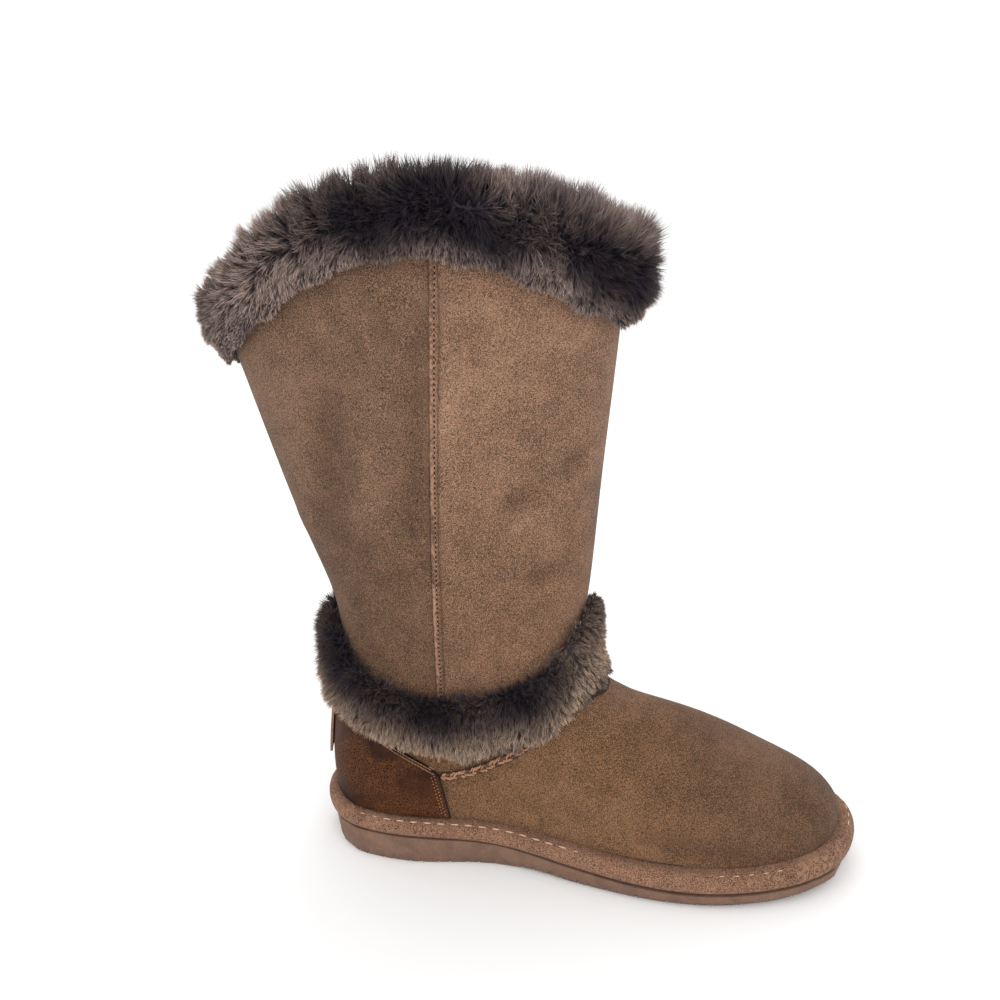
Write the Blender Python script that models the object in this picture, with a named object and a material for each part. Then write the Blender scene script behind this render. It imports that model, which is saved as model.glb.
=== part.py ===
"""Right winter boot: a suede shaft boot with a fur cuff, an ankle fur band and a wrapped platform sole.

Metres, +Z up, +X to the toe, the outer side of the foot towards -Y. The origin is on the floor under
the heel. The boot stands empty on the flat spots under its heel and its forefoot.
"""

import math

import bmesh
import bpy
import numpy as np

# Sole
SOLE_LENGTH = 0.280
BALL_WIDTH = 0.103
HEEL_SET = 0.036
HEEL_ROUND = 0.038
TOE_ROUND = 0.045
OUTSOLE_HEEL = 0.0162
OUTSOLE_FOREFOOT = 0.0069
BAND_HEEL = 0.0086
BAND_FOREFOOT = 0.0105
TOE_SPRING = 0.0045
HEEL_LIFT = 0.0030
ARCH_RISE = 0.0012
OUTSOLE_INSET = 0.0014
FLOOR_INSET = 0.0044
CREASE_INSET = 0.0081
SLIT_DEPTH = 0.0014
SLIT_WIDTH = 0.0014
SLIT_GAP = 0.0058
LUG_PITCH = 0.01467
INSOLE_THICKNESS = 0.0045

# Upper
WALL = 0.0030
INSTEP_HEIGHT = 0.100
SHAFT_HEIGHT = 0.200
COLLAR_LENGTH = 0.200
SHAFT_WIDTH = 0.080
COLLAR_ARCH = 0.040

# Overlays on the upper
GAP = 0.0003
OVERLAY = 0.0015
SEAM_WIDTH = 0.0042
SEAM_PROUD = 0.0010
SEAM_END_GAP = 0.0030
BRAID_WIDTH = 0.0085
BRAID_STRAND = 0.0052
OVERLAY_SEAT = 0.0008
PATCH_WIDTH = 0.024
PATCH_HEIGHT = 0.026
PATCH_LOW = 0.046

# Fur
CUFF_DROP = 0.0205
CUFF_PILE = 0.0125
ANKLE_PILE = 0.0115
LOCK_LENGTH = 0.0050
BRAID_CLEARANCE = 0.0010
CUFF_SAG_SHARE = 0.20

# Shares of the sole length: where the wedge thins, the toe springs up, the heel lifts, the arch and the
# tread are, and where the shaft's side seam stands; turns are shares of the way round the outline
WEDGE_SHARES = (0.15, 0.72)
SPRING_SHARES = (0.66, 1.00)
LIFT_SHARES = (0.09, 0.00)
ARCH_SHARES = (0.36, 0.52)
TREAD_SHARES = (0.03, 0.96)
OUTSOLE_TURNS = (0.05, 0.95)
SHAFT_SHARE = 0.2786

# Roundness of the vamp's vault, the shaft's sections and the collar's arch: 2 is an ellipse
VAULT_POWER = 2.2
SHAFT_POWER = 2.25
COLLAR_POWER = 2.4

# Share of the upper's height over which its sections turn from the crease's own curve
CREASE_FADE = 0.2

# Mesh density: pairs are steps across and up, fine steps only measure a line
RINGS = 25
AROUND = 38
SOLE_AROUND = 48
SOLE_STATIONS = 10
SEAM_STEPS = 21
BRAID_STEPS = 40
COUNTER_GRID = (18, 6)
PATCH_GRID = (7, 4)
SKIN_GRID = (241, 181)
FINE_STEPS = 721


def table(columns, *rows):
    """Named columns of numbers, a row for each section."""
    return dict(zip(columns.split(), np.array(rows, float).T))


# Plan of the sole: share of its length, then middle line and half width as shares of the ball width
SOLE_PLAN = table(
    "share middle half",
    (0.000, 0.000, 0.000),
    (0.060, -0.004, 0.317),
    (0.130, -0.008, 0.381),
    (0.200, -0.019, 0.383),
    (0.350, -0.002, 0.350),
    (0.500, -0.020, 0.406),
    (0.620, -0.014, 0.470),
    (0.740, 0.010, 0.496),
    (0.840, 0.039, 0.463),
    (0.920, 0.064, 0.379),
    (0.975, 0.088, 0.238),
    (1.000, 0.109, 0.000),
)

# Rounded edge of the wrapped platform: inset as a share of the crease's, height of the band's thickness
BAND_EDGE = table(
    "inset height",
    (0.173, 0.00),
    (0.025, 0.22),
    (0.000, 0.50),
    (0.111, 0.78),
    (0.346, 0.97),
    (0.642, 1.04),
    (1.000, 0.98),
)

# Edge of the insole: inset and height as shares of its thickness
INSOLE_EDGE = table("inset height", (0.13, 0.0), (0.0, 0.35), (0.0, 0.75), (0.22, 1.0))

# Foot sections from the crease up: lengths as shares of the sole length, heights of the instep height
FOOT = table(
    "back back_height front front_height",
    (0.0236, 0.350, 0.9700, 0.290),
    (0.0236, 0.460, 0.9480, 0.375),
    (0.0280, 0.580, 0.9036, 0.462),
    (0.0336, 0.700, 0.8320, 0.562),
    (0.0396, 0.820, 0.7464, 0.690),
    (0.0443, 0.940, 0.6536, 0.790),
    (0.0486, 1.060, 0.5714, 0.860),
)

# Shaft sections: lengths from the side seam as shares of the collar length, heights over the instep
# as shares of the shaft height, half width of the shaft width, foot form and collar arch from 0 to 1
SHAFT = table(
    "back back_height front front_height half foot arch",
    (-0.3195, 0.090, 0.3375, -0.005, 0.456, 0.50, 0.00),
    (-0.3240, 0.150, 0.3150, 0.100, 0.455, 0.20, 0.00),
    (-0.3420, 0.228, 0.3310, 0.210, 0.456, 0.00, 0.00),
    (-0.3920, 0.350, 0.3460, 0.342, 0.463, 0.00, 0.00),
    (-0.4590, 0.548, 0.3640, 0.520, 0.475, 0.00, 0.10),
    (-0.5150, 0.730, 0.3880, 0.715, 0.488, 0.00, 0.42),
    (-0.5490, 0.835, 0.4045, 0.860, 0.495, 0.00, 0.74),
    (-0.5700, 0.900, 0.4200, 1.000, 0.500, 0.00, 1.00),
)
FOOT_FORM_LEFT = 0.85

# Vault over the foot, as if the vamp's ridge ran on up through the shaft: shares as in FOOT
VAULT = table(
    "share height",
    (0.000, 4.20),
    (0.179, 2.80),
    (0.321, 1.85),
    (0.429, 1.30),
    (0.500, 1.04),
)

# Ridge of the vamp, off the sole's axis: share of the sole length, share of the ball width
RIDGE = table("share offset", (0, 0), (0.40, 0), (0.57, 0.02), (0.72, 0.05), (0.86, 0.08), (1, 0.109))

# Ankle fur: share from back to front, lower and upper edge as shares of the instep height
ANKLE_FUR = table(
    "share low high",
    (0.00, 0.84, 1.38),
    (0.10, 0.79, 1.15),
    (0.25, 0.64, 0.99),
    (0.50, 0.72, 0.96),
    (0.75, 0.86, 1.04),
    (0.90, 0.92, 1.15),
    (1.00, 0.95, 1.48),
)

# Counter's top edge from the side, and its front edge from the top down to the crease: share of the
# sole length, share of the instep height
COUNTER_TOP = table(
    "share height",
    (0.020, 0.860),
    (0.105, 0.770),
    (0.166, 0.672),
    (0.215, 0.590),
    (0.252, 0.520),
)
COUNTER_FRONT = table("part share", (0, 0.272), (1, 0.252))

# Side seam and braid as seen from the side: share of the sole length, share of the instep height
SEAM_LINE = table(
    "height share",
    (0.57, 0.259),
    (0.97, 0.264),
    (1.42, 0.271),
    (1.78, 0.273),
    (2.12, 0.278),
    (2.44, 0.284),
    (2.75, 0.291),
    (3.10, 0.293),
)
BRAID_LINE = table(
    "share height",
    (0.256, 0.482),
    (0.290, 0.496),
    (0.332, 0.536),
    (0.375, 0.597),
    (0.418, 0.684),
    (0.450, 0.775),
    (0.485, 0.863),
    (0.520, 0.930),
)

# Section of the braid: place across its width, lowest and highest strand as shares of the thickness
BRAID_SECTION = table(
    "place low high",
    (-0.50, 0.40, 0.40),
    (-0.25, 0.45, 1.00),
    (0.00, 0.45, 1.00),
    (0.25, 0.45, 1.00),
    (0.50, 0.40, 0.40),
)

# Fur locks, as shares of their length: middle value, swing and turns from lock to lock
LOCK_FORM = table("middle swing turn", (0.35, 0.25, 2.4), (0.80, 0.30, 1.7))
LOCK_POINT_SHARE = 0.35


def smooth(rows, column, at):
    """A smooth curve through one column of a table, read at values of its first column."""
    at = np.asarray(at, float)
    share = next(iter(rows.values()))
    value = rows[column]
    slope = np.gradient(value, share)
    inside = np.clip(at, share[0], share[-1])
    row = np.clip(np.searchsorted(share, inside, side="right") - 1, 0, len(share) - 2)
    width = share[row + 1] - share[row]
    part = (inside - share[row]) / width
    square = part**2
    cube = part**3
    start = (2 * cube - 3 * square + 1) * value[row] + (cube - 2 * square + part) * width * slope[row]
    end = (3 * square - 2 * cube) * value[row + 1] + (cube - square) * width * slope[row + 1]
    return start + end


def ease(low, high, at):
    part = np.clip((np.asarray(at, float) - low) / (high - low), 0, 1)
    return part * part * (3 - 2 * part)


def sole_fullness():
    """The half widths of the plan over the round of an ellipse, so that both ends close round."""
    share = SOLE_PLAN["share"]
    full = SOLE_PLAN["half"] * BALL_WIDTH
    full[1:-1] /= 2 * np.sqrt(share[1:-1] * (1 - share[1:-1]))
    full[0] = math.sqrt(HEEL_ROUND * SOLE_LENGTH / 2)
    full[-1] = math.sqrt(TOE_ROUND * SOLE_LENGTH / 2)
    return {"share": share, "full": full}


SOLE_FULLNESS = sole_fullness()


def widest_outline(angle):
    """The widest line of the sole in plan: angle 0 at the heel, then the outer side, pi at the toe."""
    share = 0.5 - 0.5 * np.cos(angle)
    x = share * SOLE_LENGTH - HEEL_SET
    middle = smooth(SOLE_PLAN, "middle", share) * BALL_WIDTH
    y = middle - smooth(SOLE_FULLNESS, "full", share) * np.sin(angle)
    return np.stack([x, y], -1)


def outline(angle, inset):
    """The sole's outline in plan, moved in by inset."""
    step = 1e-3
    along = widest_outline(angle + step) - widest_outline(angle - step)
    along /= np.linalg.norm(along, axis=-1, keepdims=True)
    outward = np.stack([along[..., 1], -along[..., 0]], -1)
    return widest_outline(angle) - outward * inset


def share_of(x):
    return (np.asarray(x, float) + HEEL_SET) / SOLE_LENGTH


def x_at(share):
    return np.asarray(share, float) * SOLE_LENGTH - HEEL_SET


def part_of(shares, x):
    """How far x lies from the first of two shares of the sole to the second, from 0 to 1."""
    return np.clip((share_of(x) - shares[0]) / (shares[1] - shares[0]), 0, 1)


def ends_rise(x):
    return TOE_SPRING * part_of(SPRING_SHARES, x) ** 2 + HEEL_LIFT * part_of(LIFT_SHARES, x) ** 2


def rise(x):
    """How far the sole's underside stands over the floor: toe spring, rounded heel and arch."""
    return ends_rise(x) + ARCH_RISE * np.sin(math.pi * part_of(ARCH_SHARES, x)) ** 2


def outsole_top(x):
    drop = ease(*WEDGE_SHARES, share_of(x))
    return OUTSOLE_HEEL + (OUTSOLE_FOREFOOT - OUTSOLE_HEEL) * drop + ends_rise(x)


def band_thickness(x):
    return BAND_HEEL + (BAND_FOREFOOT - BAND_HEEL) * ease(*WEDGE_SHARES, share_of(x))


def platform_top(x):
    """The flat of the platform that the upper and the insole stand on, with the gap under them."""
    return outsole_top(x) + BAND_EDGE["height"][-1] * band_thickness(x) + 2 * GAP


def upper_sections():
    """All sections of the upper in metres, from the crease at the sole up to the collar."""
    ends = x_at(0) + CREASE_INSET, x_at(1) - CREASE_INSET
    heights = [platform_top(x) for x in ends]
    shaft_x = x_at(SHAFT_SHARE)
    parts = {
        "back": [ends[:1], x_at(FOOT["back"]), shaft_x + SHAFT["back"] * COLLAR_LENGTH],
        "front": [ends[1:], x_at(FOOT["front"]), shaft_x + SHAFT["front"] * COLLAR_LENGTH],
        "half": [np.full(len(FOOT["back"]) + 1, SHAFT["half"][0]), SHAFT["half"]],
        "arch": [np.zeros(len(FOOT["back"]) + 1), SHAFT["arch"]],
        "foot": [np.ones(len(FOOT["back"])), [FOOT_FORM_LEFT], SHAFT["foot"]],
    }
    for number, name in enumerate(("back_height", "front_height")):
        foot = FOOT[name] * INSTEP_HEIGHT
        shaft = INSTEP_HEIGHT + SHAFT[name] * SHAFT_HEIGHT
        parts[name] = [[heights[number]], foot, shaft]
    count = 1 + len(FOOT["back"]) + len(SHAFT["back"])
    joined = {name: np.concatenate(columns) for name, columns in parts.items()}
    return {"level": np.linspace(0, 1, count), **joined}


SECTIONS = upper_sections()


def vault_line():
    """The vamp's ridge and the vault behind it, as close points from the heel to the toe."""
    ridge_levels = np.linspace(len(FOOT["back"]) / (len(SECTIONS["level"]) - 1), 0, 300)
    ridge = [smooth(SECTIONS, name, ridge_levels) for name in ("front", "front_height")]
    joined_x = np.concatenate([x_at(VAULT["share"]), x_at(FOOT["front"][::-1])])
    joined_z = np.concatenate([VAULT["height"], FOOT["front_height"][::-1]]) * INSTEP_HEIGHT
    behind = np.linspace(joined_x[0], ridge[0][0], 200, endpoint=False)
    vault = smooth({"x": joined_x, "z": joined_z}, "z", behind)
    return np.append(behind, np.maximum.accumulate(ridge[0])), np.append(vault, ridge[1])


VAULT_LINE = vault_line()


def upper_form(level, angle):
    """The upper's outer surface. Level 0 is the crease, 1 the collar; angle as in the sole's outline."""
    back, front, back_z, front_z, half, foot, arch = (
        smooth(SECTIONS, name, level)
        for name in ("back", "front", "back_height", "front_height", "half", "foot", "arch")
    )
    share = 0.5 - 0.5 * np.cos(angle)
    x = back + (front - back) * share
    height = back_z + (front_z - back_z) * share + arch * COLLAR_ARCH * np.abs(np.sin(angle)) ** COLLAR_POWER

    crease_back, crease_front = SECTIONS["back"][0], SECTIONS["front"][0]
    crease_ends = SECTIONS["back_height"][0], SECTIONS["front_height"][0]
    straight = crease_ends[0] + (x - crease_back) / (crease_front - crease_back) * np.diff(crease_ends)[0]
    crease = platform_top(x)
    height = height + (crease - straight) * (1 - ease(0, CREASE_FADE, level))

    around = np.linspace(0, math.pi, FINE_STEPS)
    outer = outline(around, CREASE_INSET)
    inner = outline(2 * math.pi - around, CREASE_INSET)
    middle = (crease_back + crease_front) / 2
    behind = crease_back + (x - back) * (middle - crease_back) / (middle - back)
    ahead = middle + (x - middle) * (crease_front - middle) / (np.maximum(front, crease_front) - middle)
    plan_x = np.where(x < middle, behind, ahead)
    ridge = smooth(RIDGE, "offset", share_of(plan_x)) * BALL_WIDTH
    sides = [np.interp(plan_x, side[:, 0], side[:, 1]) for side in (outer, inner)]
    edge = np.where(np.sin(angle) >= 0, sides[0], sides[1])
    vault = np.maximum(np.interp(x, *VAULT_LINE), height)
    risen = np.clip((height - crease) / np.maximum(vault - crease, 1e-6), 0, 1)
    vaulted = ridge + (edge - ridge) * (1 - risen**VAULT_POWER) ** (1 / VAULT_POWER)

    round_side = (1 - np.abs(np.cos(angle)) ** SHAFT_POWER) ** (1 / SHAFT_POWER)
    oval = -np.sign(np.sin(angle)) * half * SHAFT_WIDTH * round_side
    return np.stack([x, foot * vaulted + (1 - foot) * oval, height], -1)


class Skin:
    """The upper's outer surface on a fine grid, with the directions that overlays are laid by."""

    def __init__(self):
        across, up = SKIN_GRID
        self.levels = np.linspace(0, 1, up)
        self.angles = np.linspace(-math.pi, math.pi, across)
        level, angle = np.meshgrid(self.levels, self.angles, indexing="ij")
        self.points = upper_form(level, np.mod(angle, 2 * math.pi))
        across = np.gradient(self.points, axis=1)
        wrapped = self.points[:, 1] - self.points[:, -2]
        across[:, 0] = across[:, -1] = wrapped / 2
        upward = np.gradient(self.points, axis=0)
        normals = np.cross(across, upward)
        self.normals = normals / np.linalg.norm(normals, axis=-1, keepdims=True)
        self.upward = upward / np.linalg.norm(upward, axis=-1, keepdims=True)

    def read(self, grid, level, angle):
        """A value of the grid between its points."""
        turned = (np.asarray(angle, float) + math.pi) % (2 * math.pi)
        row = np.clip(np.asarray(level, float), 0, 1) * (len(self.levels) - 1)
        column = turned / (2 * math.pi) * (len(self.angles) - 1)
        low = np.minimum(row.astype(int), len(self.levels) - 2)
        left = np.minimum(column.astype(int), len(self.angles) - 2)
        up = (row - low)[..., None]
        right = (column - left)[..., None]
        below = grid[low, left] * (1 - right) + grid[low, left + 1] * right
        above = grid[low + 1, left] * (1 - right) + grid[low + 1, left + 1] * right
        return below * (1 - up) + above * up

    def at(self, level, angle, out=0.0):
        """A point on the upper, moved out along its normal."""
        level, angle, out = np.broadcast_arrays(level, angle, out)
        return self.read(self.points, level, angle) + self.read(self.normals, level, angle) * out[..., None]

    def column(self, angle):
        return self.read(self.points, self.levels, np.full(len(self.levels), angle))

    def level_at_height(self, angle, height):
        heights = np.maximum.accumulate(self.column(angle)[:, 2])
        return float(np.interp(height, heights, self.levels))

    def level_below_collar(self, angle, drop):
        steps = np.linalg.norm(np.diff(self.column(angle), axis=0), axis=-1)
        below = np.concatenate([np.cumsum(steps[::-1])[::-1], [0]])
        return float(np.interp(-drop, -below, self.levels))

    def spot(self, x, height, side):
        """Level and angle of the point that shows at x and height from one side, -1 for the outer one."""
        level = 0.3
        angle = 0.0
        for _ in range(12):
            back = float(smooth(SECTIONS, "back", level))
            front = float(smooth(SECTIONS, "front", level))
            share = min(max((x - back) / (front - back), 0), 1)
            angle = -side * math.acos(1 - 2 * share)
            level = self.level_at_height(angle, height)
        return level, angle

    def rim(self, angle, drop, out):
        """A point by the collar: drop below its edge along the surface, or above it where negative."""
        level = self.level_below_collar(angle, max(drop, 0))
        point = self.at(level, angle, out)
        if drop < 0:
            point = point - self.read(self.upward, 1.0, angle) * drop
        return point


def material(name, colour, roughness):
    made = bpy.data.materials.new(name)
    made.use_nodes = True
    shader = made.node_tree.nodes["Principled BSDF"]
    shader.inputs["Base Color"].default_value = (*colour, 1.0)
    shader.inputs["Roughness"].default_value = roughness
    return made


def finish(bm, name, finish_of):
    """Writes a bmesh as an object of its own, faces out."""
    bmesh.ops.recalc_face_normals(bm, faces=bm.faces)
    if bm.calc_volume(signed=True) < 0:
        bmesh.ops.reverse_faces(bm, faces=bm.faces)
    mesh = bpy.data.meshes.new(name)
    bm.to_mesh(mesh)
    bm.free()
    mesh.shade_smooth()
    mesh.set_sharp_from_angle(angle=math.radians(40))
    mesh.materials.append(finish_of)
    made = bpy.data.objects.new(name, mesh)
    bpy.context.scene.collection.objects.link(made)
    return made


def add_loop(bm, points):
    return [bm.verts.new(point) for point in points]


def join_loops(bm, first, second, closed=True):
    faces = []
    for index in range(len(first) if closed else len(first) - 1):
        after = (index + 1) % len(first)
        faces.append(bm.faces.new((first[index], first[after], second[after], second[index])))
    return faces


def ladder(bm, loop):
    """Closes a loop across, from its first point at the heel to its middle point at the toe."""
    count = len(loop)
    bm.faces.new((loop[0], loop[1], loop[-1]))
    for index in range(1, count // 2 - 1):
        bm.faces.new((loop[index], loop[index + 1], loop[count - index - 1], loop[count - index]))
    bm.faces.new((loop[count // 2 - 1], loop[count // 2], loop[count // 2 + 1]))


def ring_angles(count):
    return np.arange(count) * 2 * math.pi / count


def level_ring(angles, inset, height_of):
    """A closed outline of the sole at one inset, each point at a height worked out from its x."""
    plan = outline(angles, inset)
    return np.column_stack([plan, height_of(plan[:, 0])])


def plate(name, rings, finish_of):
    """A solid whose edge runs through the rings, closed across its lowest and its highest ring."""
    bm = bmesh.new()
    loops = [add_loop(bm, ring) for ring in rings]
    for first, second in zip(loops, loops[1:]):
        join_loops(bm, first, second)
    ladder(bm, loops[0])
    ladder(bm, loops[-1])
    return finish(bm, name, finish_of)


def make_platform_band(finish_of):
    """The suede-wrapped platform, rounded at its edge, flat on top where the upper and insole sit."""
    angles = ring_angles(SOLE_AROUND)
    rings = []
    for inset, share in zip(BAND_EDGE["inset"], BAND_EDGE["height"]):

        def height(x, share=share):
            return outsole_top(x) + GAP + (band_thickness(x) - GAP) * share

        rings.append(level_ring(angles, inset * CREASE_INSET, height))
    return plate("platform_band", rings, finish_of)


def make_insole(finish_of):
    """The insole, lying on the platform inside the upper's wall."""
    angles = ring_angles(SOLE_AROUND)
    inset = CREASE_INSET + WALL + 3 * GAP
    rings = []
    for more, share in zip(INSOLE_EDGE["inset"], INSOLE_EDGE["height"]):

        def height(x, share=share):
            return platform_top(x) + INSOLE_THICKNESS * share

        rings.append(level_ring(angles, inset + more * INSOLE_THICKNESS, height))
    return plate("insole", rings, finish_of)


def slit_middles():
    """Where the cross slits of the tread lie, in pairs, with a wide lug between pairs under the heel."""
    low, high = x_at(TREAD_SHARES)
    pairs = np.arange(math.ceil(low / LUG_PITCH), math.floor(high / LUG_PITCH) + 1) * LUG_PITCH
    middles = np.concatenate([pairs + (LUG_PITCH - SLIT_GAP) / 2, pairs + (LUG_PITCH + SLIT_GAP) / 2])
    return sorted(float(x) for x in middles if low < x < high)


def make_outsole(finish_of):
    """The rubber wedge, lofted along its length, with pairs of narrow slits across its tread."""
    turns = np.linspace(*OUTSOLE_TURNS, SOLE_STATIONS) * math.pi
    stations = {float(x) for x in x_at(0.5 - 0.5 * np.cos(turns))}
    slits = slit_middles()
    for middle in slits:
        stations = {x for x in stations if abs(x - middle) > SLIT_WIDTH}
        stations |= {middle - SLIT_WIDTH / 2, middle, middle + SLIT_WIDTH / 2}
    angles = np.linspace(0, math.pi, FINE_STEPS)
    lines = {}
    for name, inset in (("top", OUTSOLE_INSET), ("low", FLOOR_INSET)):
        lines[name] = [outline(angles, inset), outline(2 * math.pi - angles, inset)]

    def side_y(name, side, x):
        line = lines[name][side]
        return float(np.interp(x, line[:, 0], line[:, 1]))

    bm = bmesh.new()
    loops = []
    for x in sorted(stations):
        floor = float(rise(x))
        top = float(outsole_top(x))
        low = floor + (SLIT_DEPTH if x in slits else 0.0)
        middle = (floor + top) / 2
        section = [
            (side_y("top", 0, x), middle),
            (side_y("low", 0, x), low),
            (side_y("low", 1, x), low),
            (side_y("top", 1, x), middle),
            (side_y("top", 1, x), top),
            (side_y("top", 0, x), top),
        ]
        loops.append(add_loop(bm, [(x, y, z) for y, z in section]))
    for first, second in zip(loops, loops[1:]):
        join_loops(bm, first, second)
    for loop in (loops[0], loops[-1]):
        bm.faces.new(loop)
    return finish(bm, "outsole", finish_of)


def make_upper(skin, finish_of):
    """Foot and shaft as one hollow wall, open at the collar and underneath."""
    angles = ring_angles(AROUND)
    bm = bmesh.new()
    walls = {"outer": [], "inner": []}
    for level in np.linspace(0, 1, RINGS):
        outer = skin.at(level, angles)
        inner = skin.at(level, angles, -WALL)
        if level == 0:
            flat = skin.read(skin.normals, level, angles)
            flat[:, 2] = 0
            flat /= np.linalg.norm(flat, axis=1, keepdims=True)
            inner = outer - flat * WALL
        walls["outer"].append(add_loop(bm, outer))
        walls["inner"].append(add_loop(bm, inner))
    for loops in walls.values():
        for first, second in zip(loops, loops[1:]):
            join_loops(bm, first, second)
    for end in (0, -1):
        join_loops(bm, walls["outer"][end], walls["inner"][end])
    return finish(bm, "upper", finish_of)


def sheet(name, inner, outer, finish_of):
    """A closed sheet between two grids of points of one size."""
    bm = bmesh.new()
    sides = [[add_loop(bm, row) for row in grid] for grid in (inner, outer)]
    for rows in sides:
        for first, second in zip(rows, rows[1:]):
            join_loops(bm, first, second, closed=False)
    low, high = sides
    for end in (0, -1):
        join_loops(bm, low[end], high[end], closed=False)
        first = [row[end] for row in low]
        second = [row[end] for row in high]
        join_loops(bm, first, second, closed=False)
    return finish(bm, name, finish_of)


def counter_height(x, part):
    """Height of the counter at x, from its lower edge at part 0 to its top edge at part 1."""
    low = float(outsole_top(x) + band_thickness(x)) + 5 * GAP
    high = float(smooth(COUNTER_TOP, "height", share_of(x))) * INSTEP_HEIGHT
    return low + (high - low) * part


def make_heel_counter(skin, finish_of):
    """The leather counter around the heel, from the crease up under the ankle fur."""
    across, up = COUNTER_GRID
    grids = []
    for out in (OVERLAY_SEAT, OVERLAY_SEAT + OVERLAY):
        rows = []
        for part in np.linspace(0, 1, up):
            front_x = float(x_at(smooth(COUNTER_FRONT, "share", part)))
            reach = skin.spot(front_x, counter_height(front_x, part), -1)[1]
            row = []
            for place in np.linspace(-1, 1, across):
                angle = place * reach
                level = skin.level_at_height(angle, counter_height(front_x, part))
                x = float(skin.at(level, angle)[0])
                level = skin.level_at_height(angle, counter_height(x, part))
                row.append(skin.at(level, angle, out))
            rows.append(row)
        grids.append(rows)
    return sheet("heel_counter", *grids, finish_of)


def make_heel_patch(skin, finish_of):
    """The small bare patch on the back of the counter."""
    across, up = PATCH_GRID
    base = OVERLAY_SEAT + OVERLAY + GAP
    near = np.linspace(0, math.pi / 4, FINE_STEPS)
    grids = []
    for out in (base, base + OVERLAY):
        rows = []
        for height in PATCH_LOW + np.linspace(0, 1, up) * PATCH_HEIGHT:
            level = skin.level_at_height(0.0, height)
            reach = -skin.at(level, near)[:, 1]
            places = np.linspace(-1, 1, across) * PATCH_WIDTH / 2
            angles = np.sign(places) * np.interp(np.abs(places), reach, near)
            rows.append(skin.at(level, angles, out))
        grids.append(rows)
    return sheet("heel_patch", *grids, finish_of)


def cuff_stretch(angle):
    """The cuff hangs lower at the back and the front than at the sides."""
    return 1 + CUFF_SAG_SHARE * math.cos(angle) ** 2


def make_seam(skin, side, name, finish_of):
    """The lapped side seam, a raised strip from the cuff down to the counter."""
    side_angle = -side * math.pi / 2
    top = skin.level_below_collar(side_angle, CUFF_DROP * cuff_stretch(side_angle) + SEAM_END_GAP)
    top_height = float(skin.at(top, side_angle)[2])
    low_height = SEAM_LINE["height"][0] * INSTEP_HEIGHT
    grids = []
    for out in (GAP, GAP + SEAM_PROUD):
        rows = []
        for part in np.linspace(0, 1, SEAM_STEPS):
            height = low_height + (top_height - low_height) * part
            middle = float(x_at(smooth(SEAM_LINE, "share", height / INSTEP_HEIGHT)))
            row = []
            for place in (-0.5, 0.5):
                level, angle = skin.spot(middle + place * SEAM_WIDTH, height, side)
                row.append(skin.at(level, angle, out))
            rows.append(row)
        grids.append(rows)
    return sheet(name, *grids, finish_of)


def braid_path(skin):
    """The braid's middle line over the instep, as points on the upper from side to side."""
    halves = []
    for side in (-1, 1):
        line = []
        for share in np.linspace(BRAID_LINE["share"][0], BRAID_LINE["share"][-1], BRAID_STEPS):
            height = float(smooth(BRAID_LINE, "height", share)) * INSTEP_HEIGHT
            line.append(skin.spot(float(x_at(share)), height, side))
        halves.append(line)
    return halves[0] + halves[1][::-1]


def make_braid(skin, finish_of):
    """A flat braid over the vamp's top line: one wall with its strands raised in a herringbone."""
    path = np.array(braid_path(skin))
    path[:, 1] = np.mod(path[:, 1], 2 * math.pi)
    points = skin.at(path[:, 0], path[:, 1])
    run = np.concatenate([[0], np.cumsum(np.linalg.norm(np.diff(points, axis=0), axis=1))])
    count = int(run[-1] / (BRAID_STRAND / 2))
    places = np.linspace(0, run[-1], count)
    levels = np.interp(places, run, path[:, 0])
    angles = np.interp(places, run, path[:, 1])
    per_level = np.linalg.norm(skin.at(levels + 0.01, angles) - skin.at(levels - 0.01, angles), axis=1) / 0.02
    under, over = [], []
    for column, (place, low, high) in enumerate(zip(*BRAID_SECTION.values())):
        lean = BRAID_STRAND / 2 * (1 - abs(place) * 2)
        leaned = np.clip(places + lean, 0, run[-1])
        level = np.interp(leaned, run, path[:, 0]) + place * BRAID_WIDTH / per_level
        angle = np.interp(leaned, run, path[:, 1])
        raised = np.array([high if (step + column) % 2 else low for step in range(count)])
        under.append(skin.at(level, angle, OVERLAY_SEAT))
        over.append(skin.at(level, angle, OVERLAY_SEAT + OVERLAY * raised))
    return sheet("braid", under, over, finish_of)


def grow_locks(bm, faces, length):
    """Draws faces of the pile out into pointed locks that lean down."""
    bm.normal_update()
    for number, face in enumerate(faces):
        normal = face.normal.copy()
        centre = face.calc_center_median()
        swing = np.sin(number * LOCK_FORM["turn"])
        lean, tip = (LOCK_FORM["middle"] + LOCK_FORM["swing"] * swing) * length
        grown = bmesh.ops.extrude_discrete_faces(bm, faces=[face])["faces"][0]
        for vert in grown.verts:
            vert.co = centre + (vert.co - centre) * LOCK_POINT_SHARE + normal * tip
            vert.co.z -= lean


def fur_ring(name, section, lock_rows, length, around, finish_of):
    """A closed ring of pile. Section gives a point for each angle and place, locks grow on some rows."""
    bm = bmesh.new()
    loops = [add_loop(bm, [section(angle, place) for place in range(section.places)]) for angle in around]
    grown = []
    for number, first in enumerate(loops):
        faces = join_loops(bm, first, loops[(number + 1) % len(loops)])
        grown += [faces[row] for row in lock_rows if (row + number) % 2 == 0]
    bmesh.ops.recalc_face_normals(bm, faces=bm.faces)
    grow_locks(bm, grown, length)
    return finish(bm, name, finish_of)


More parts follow.
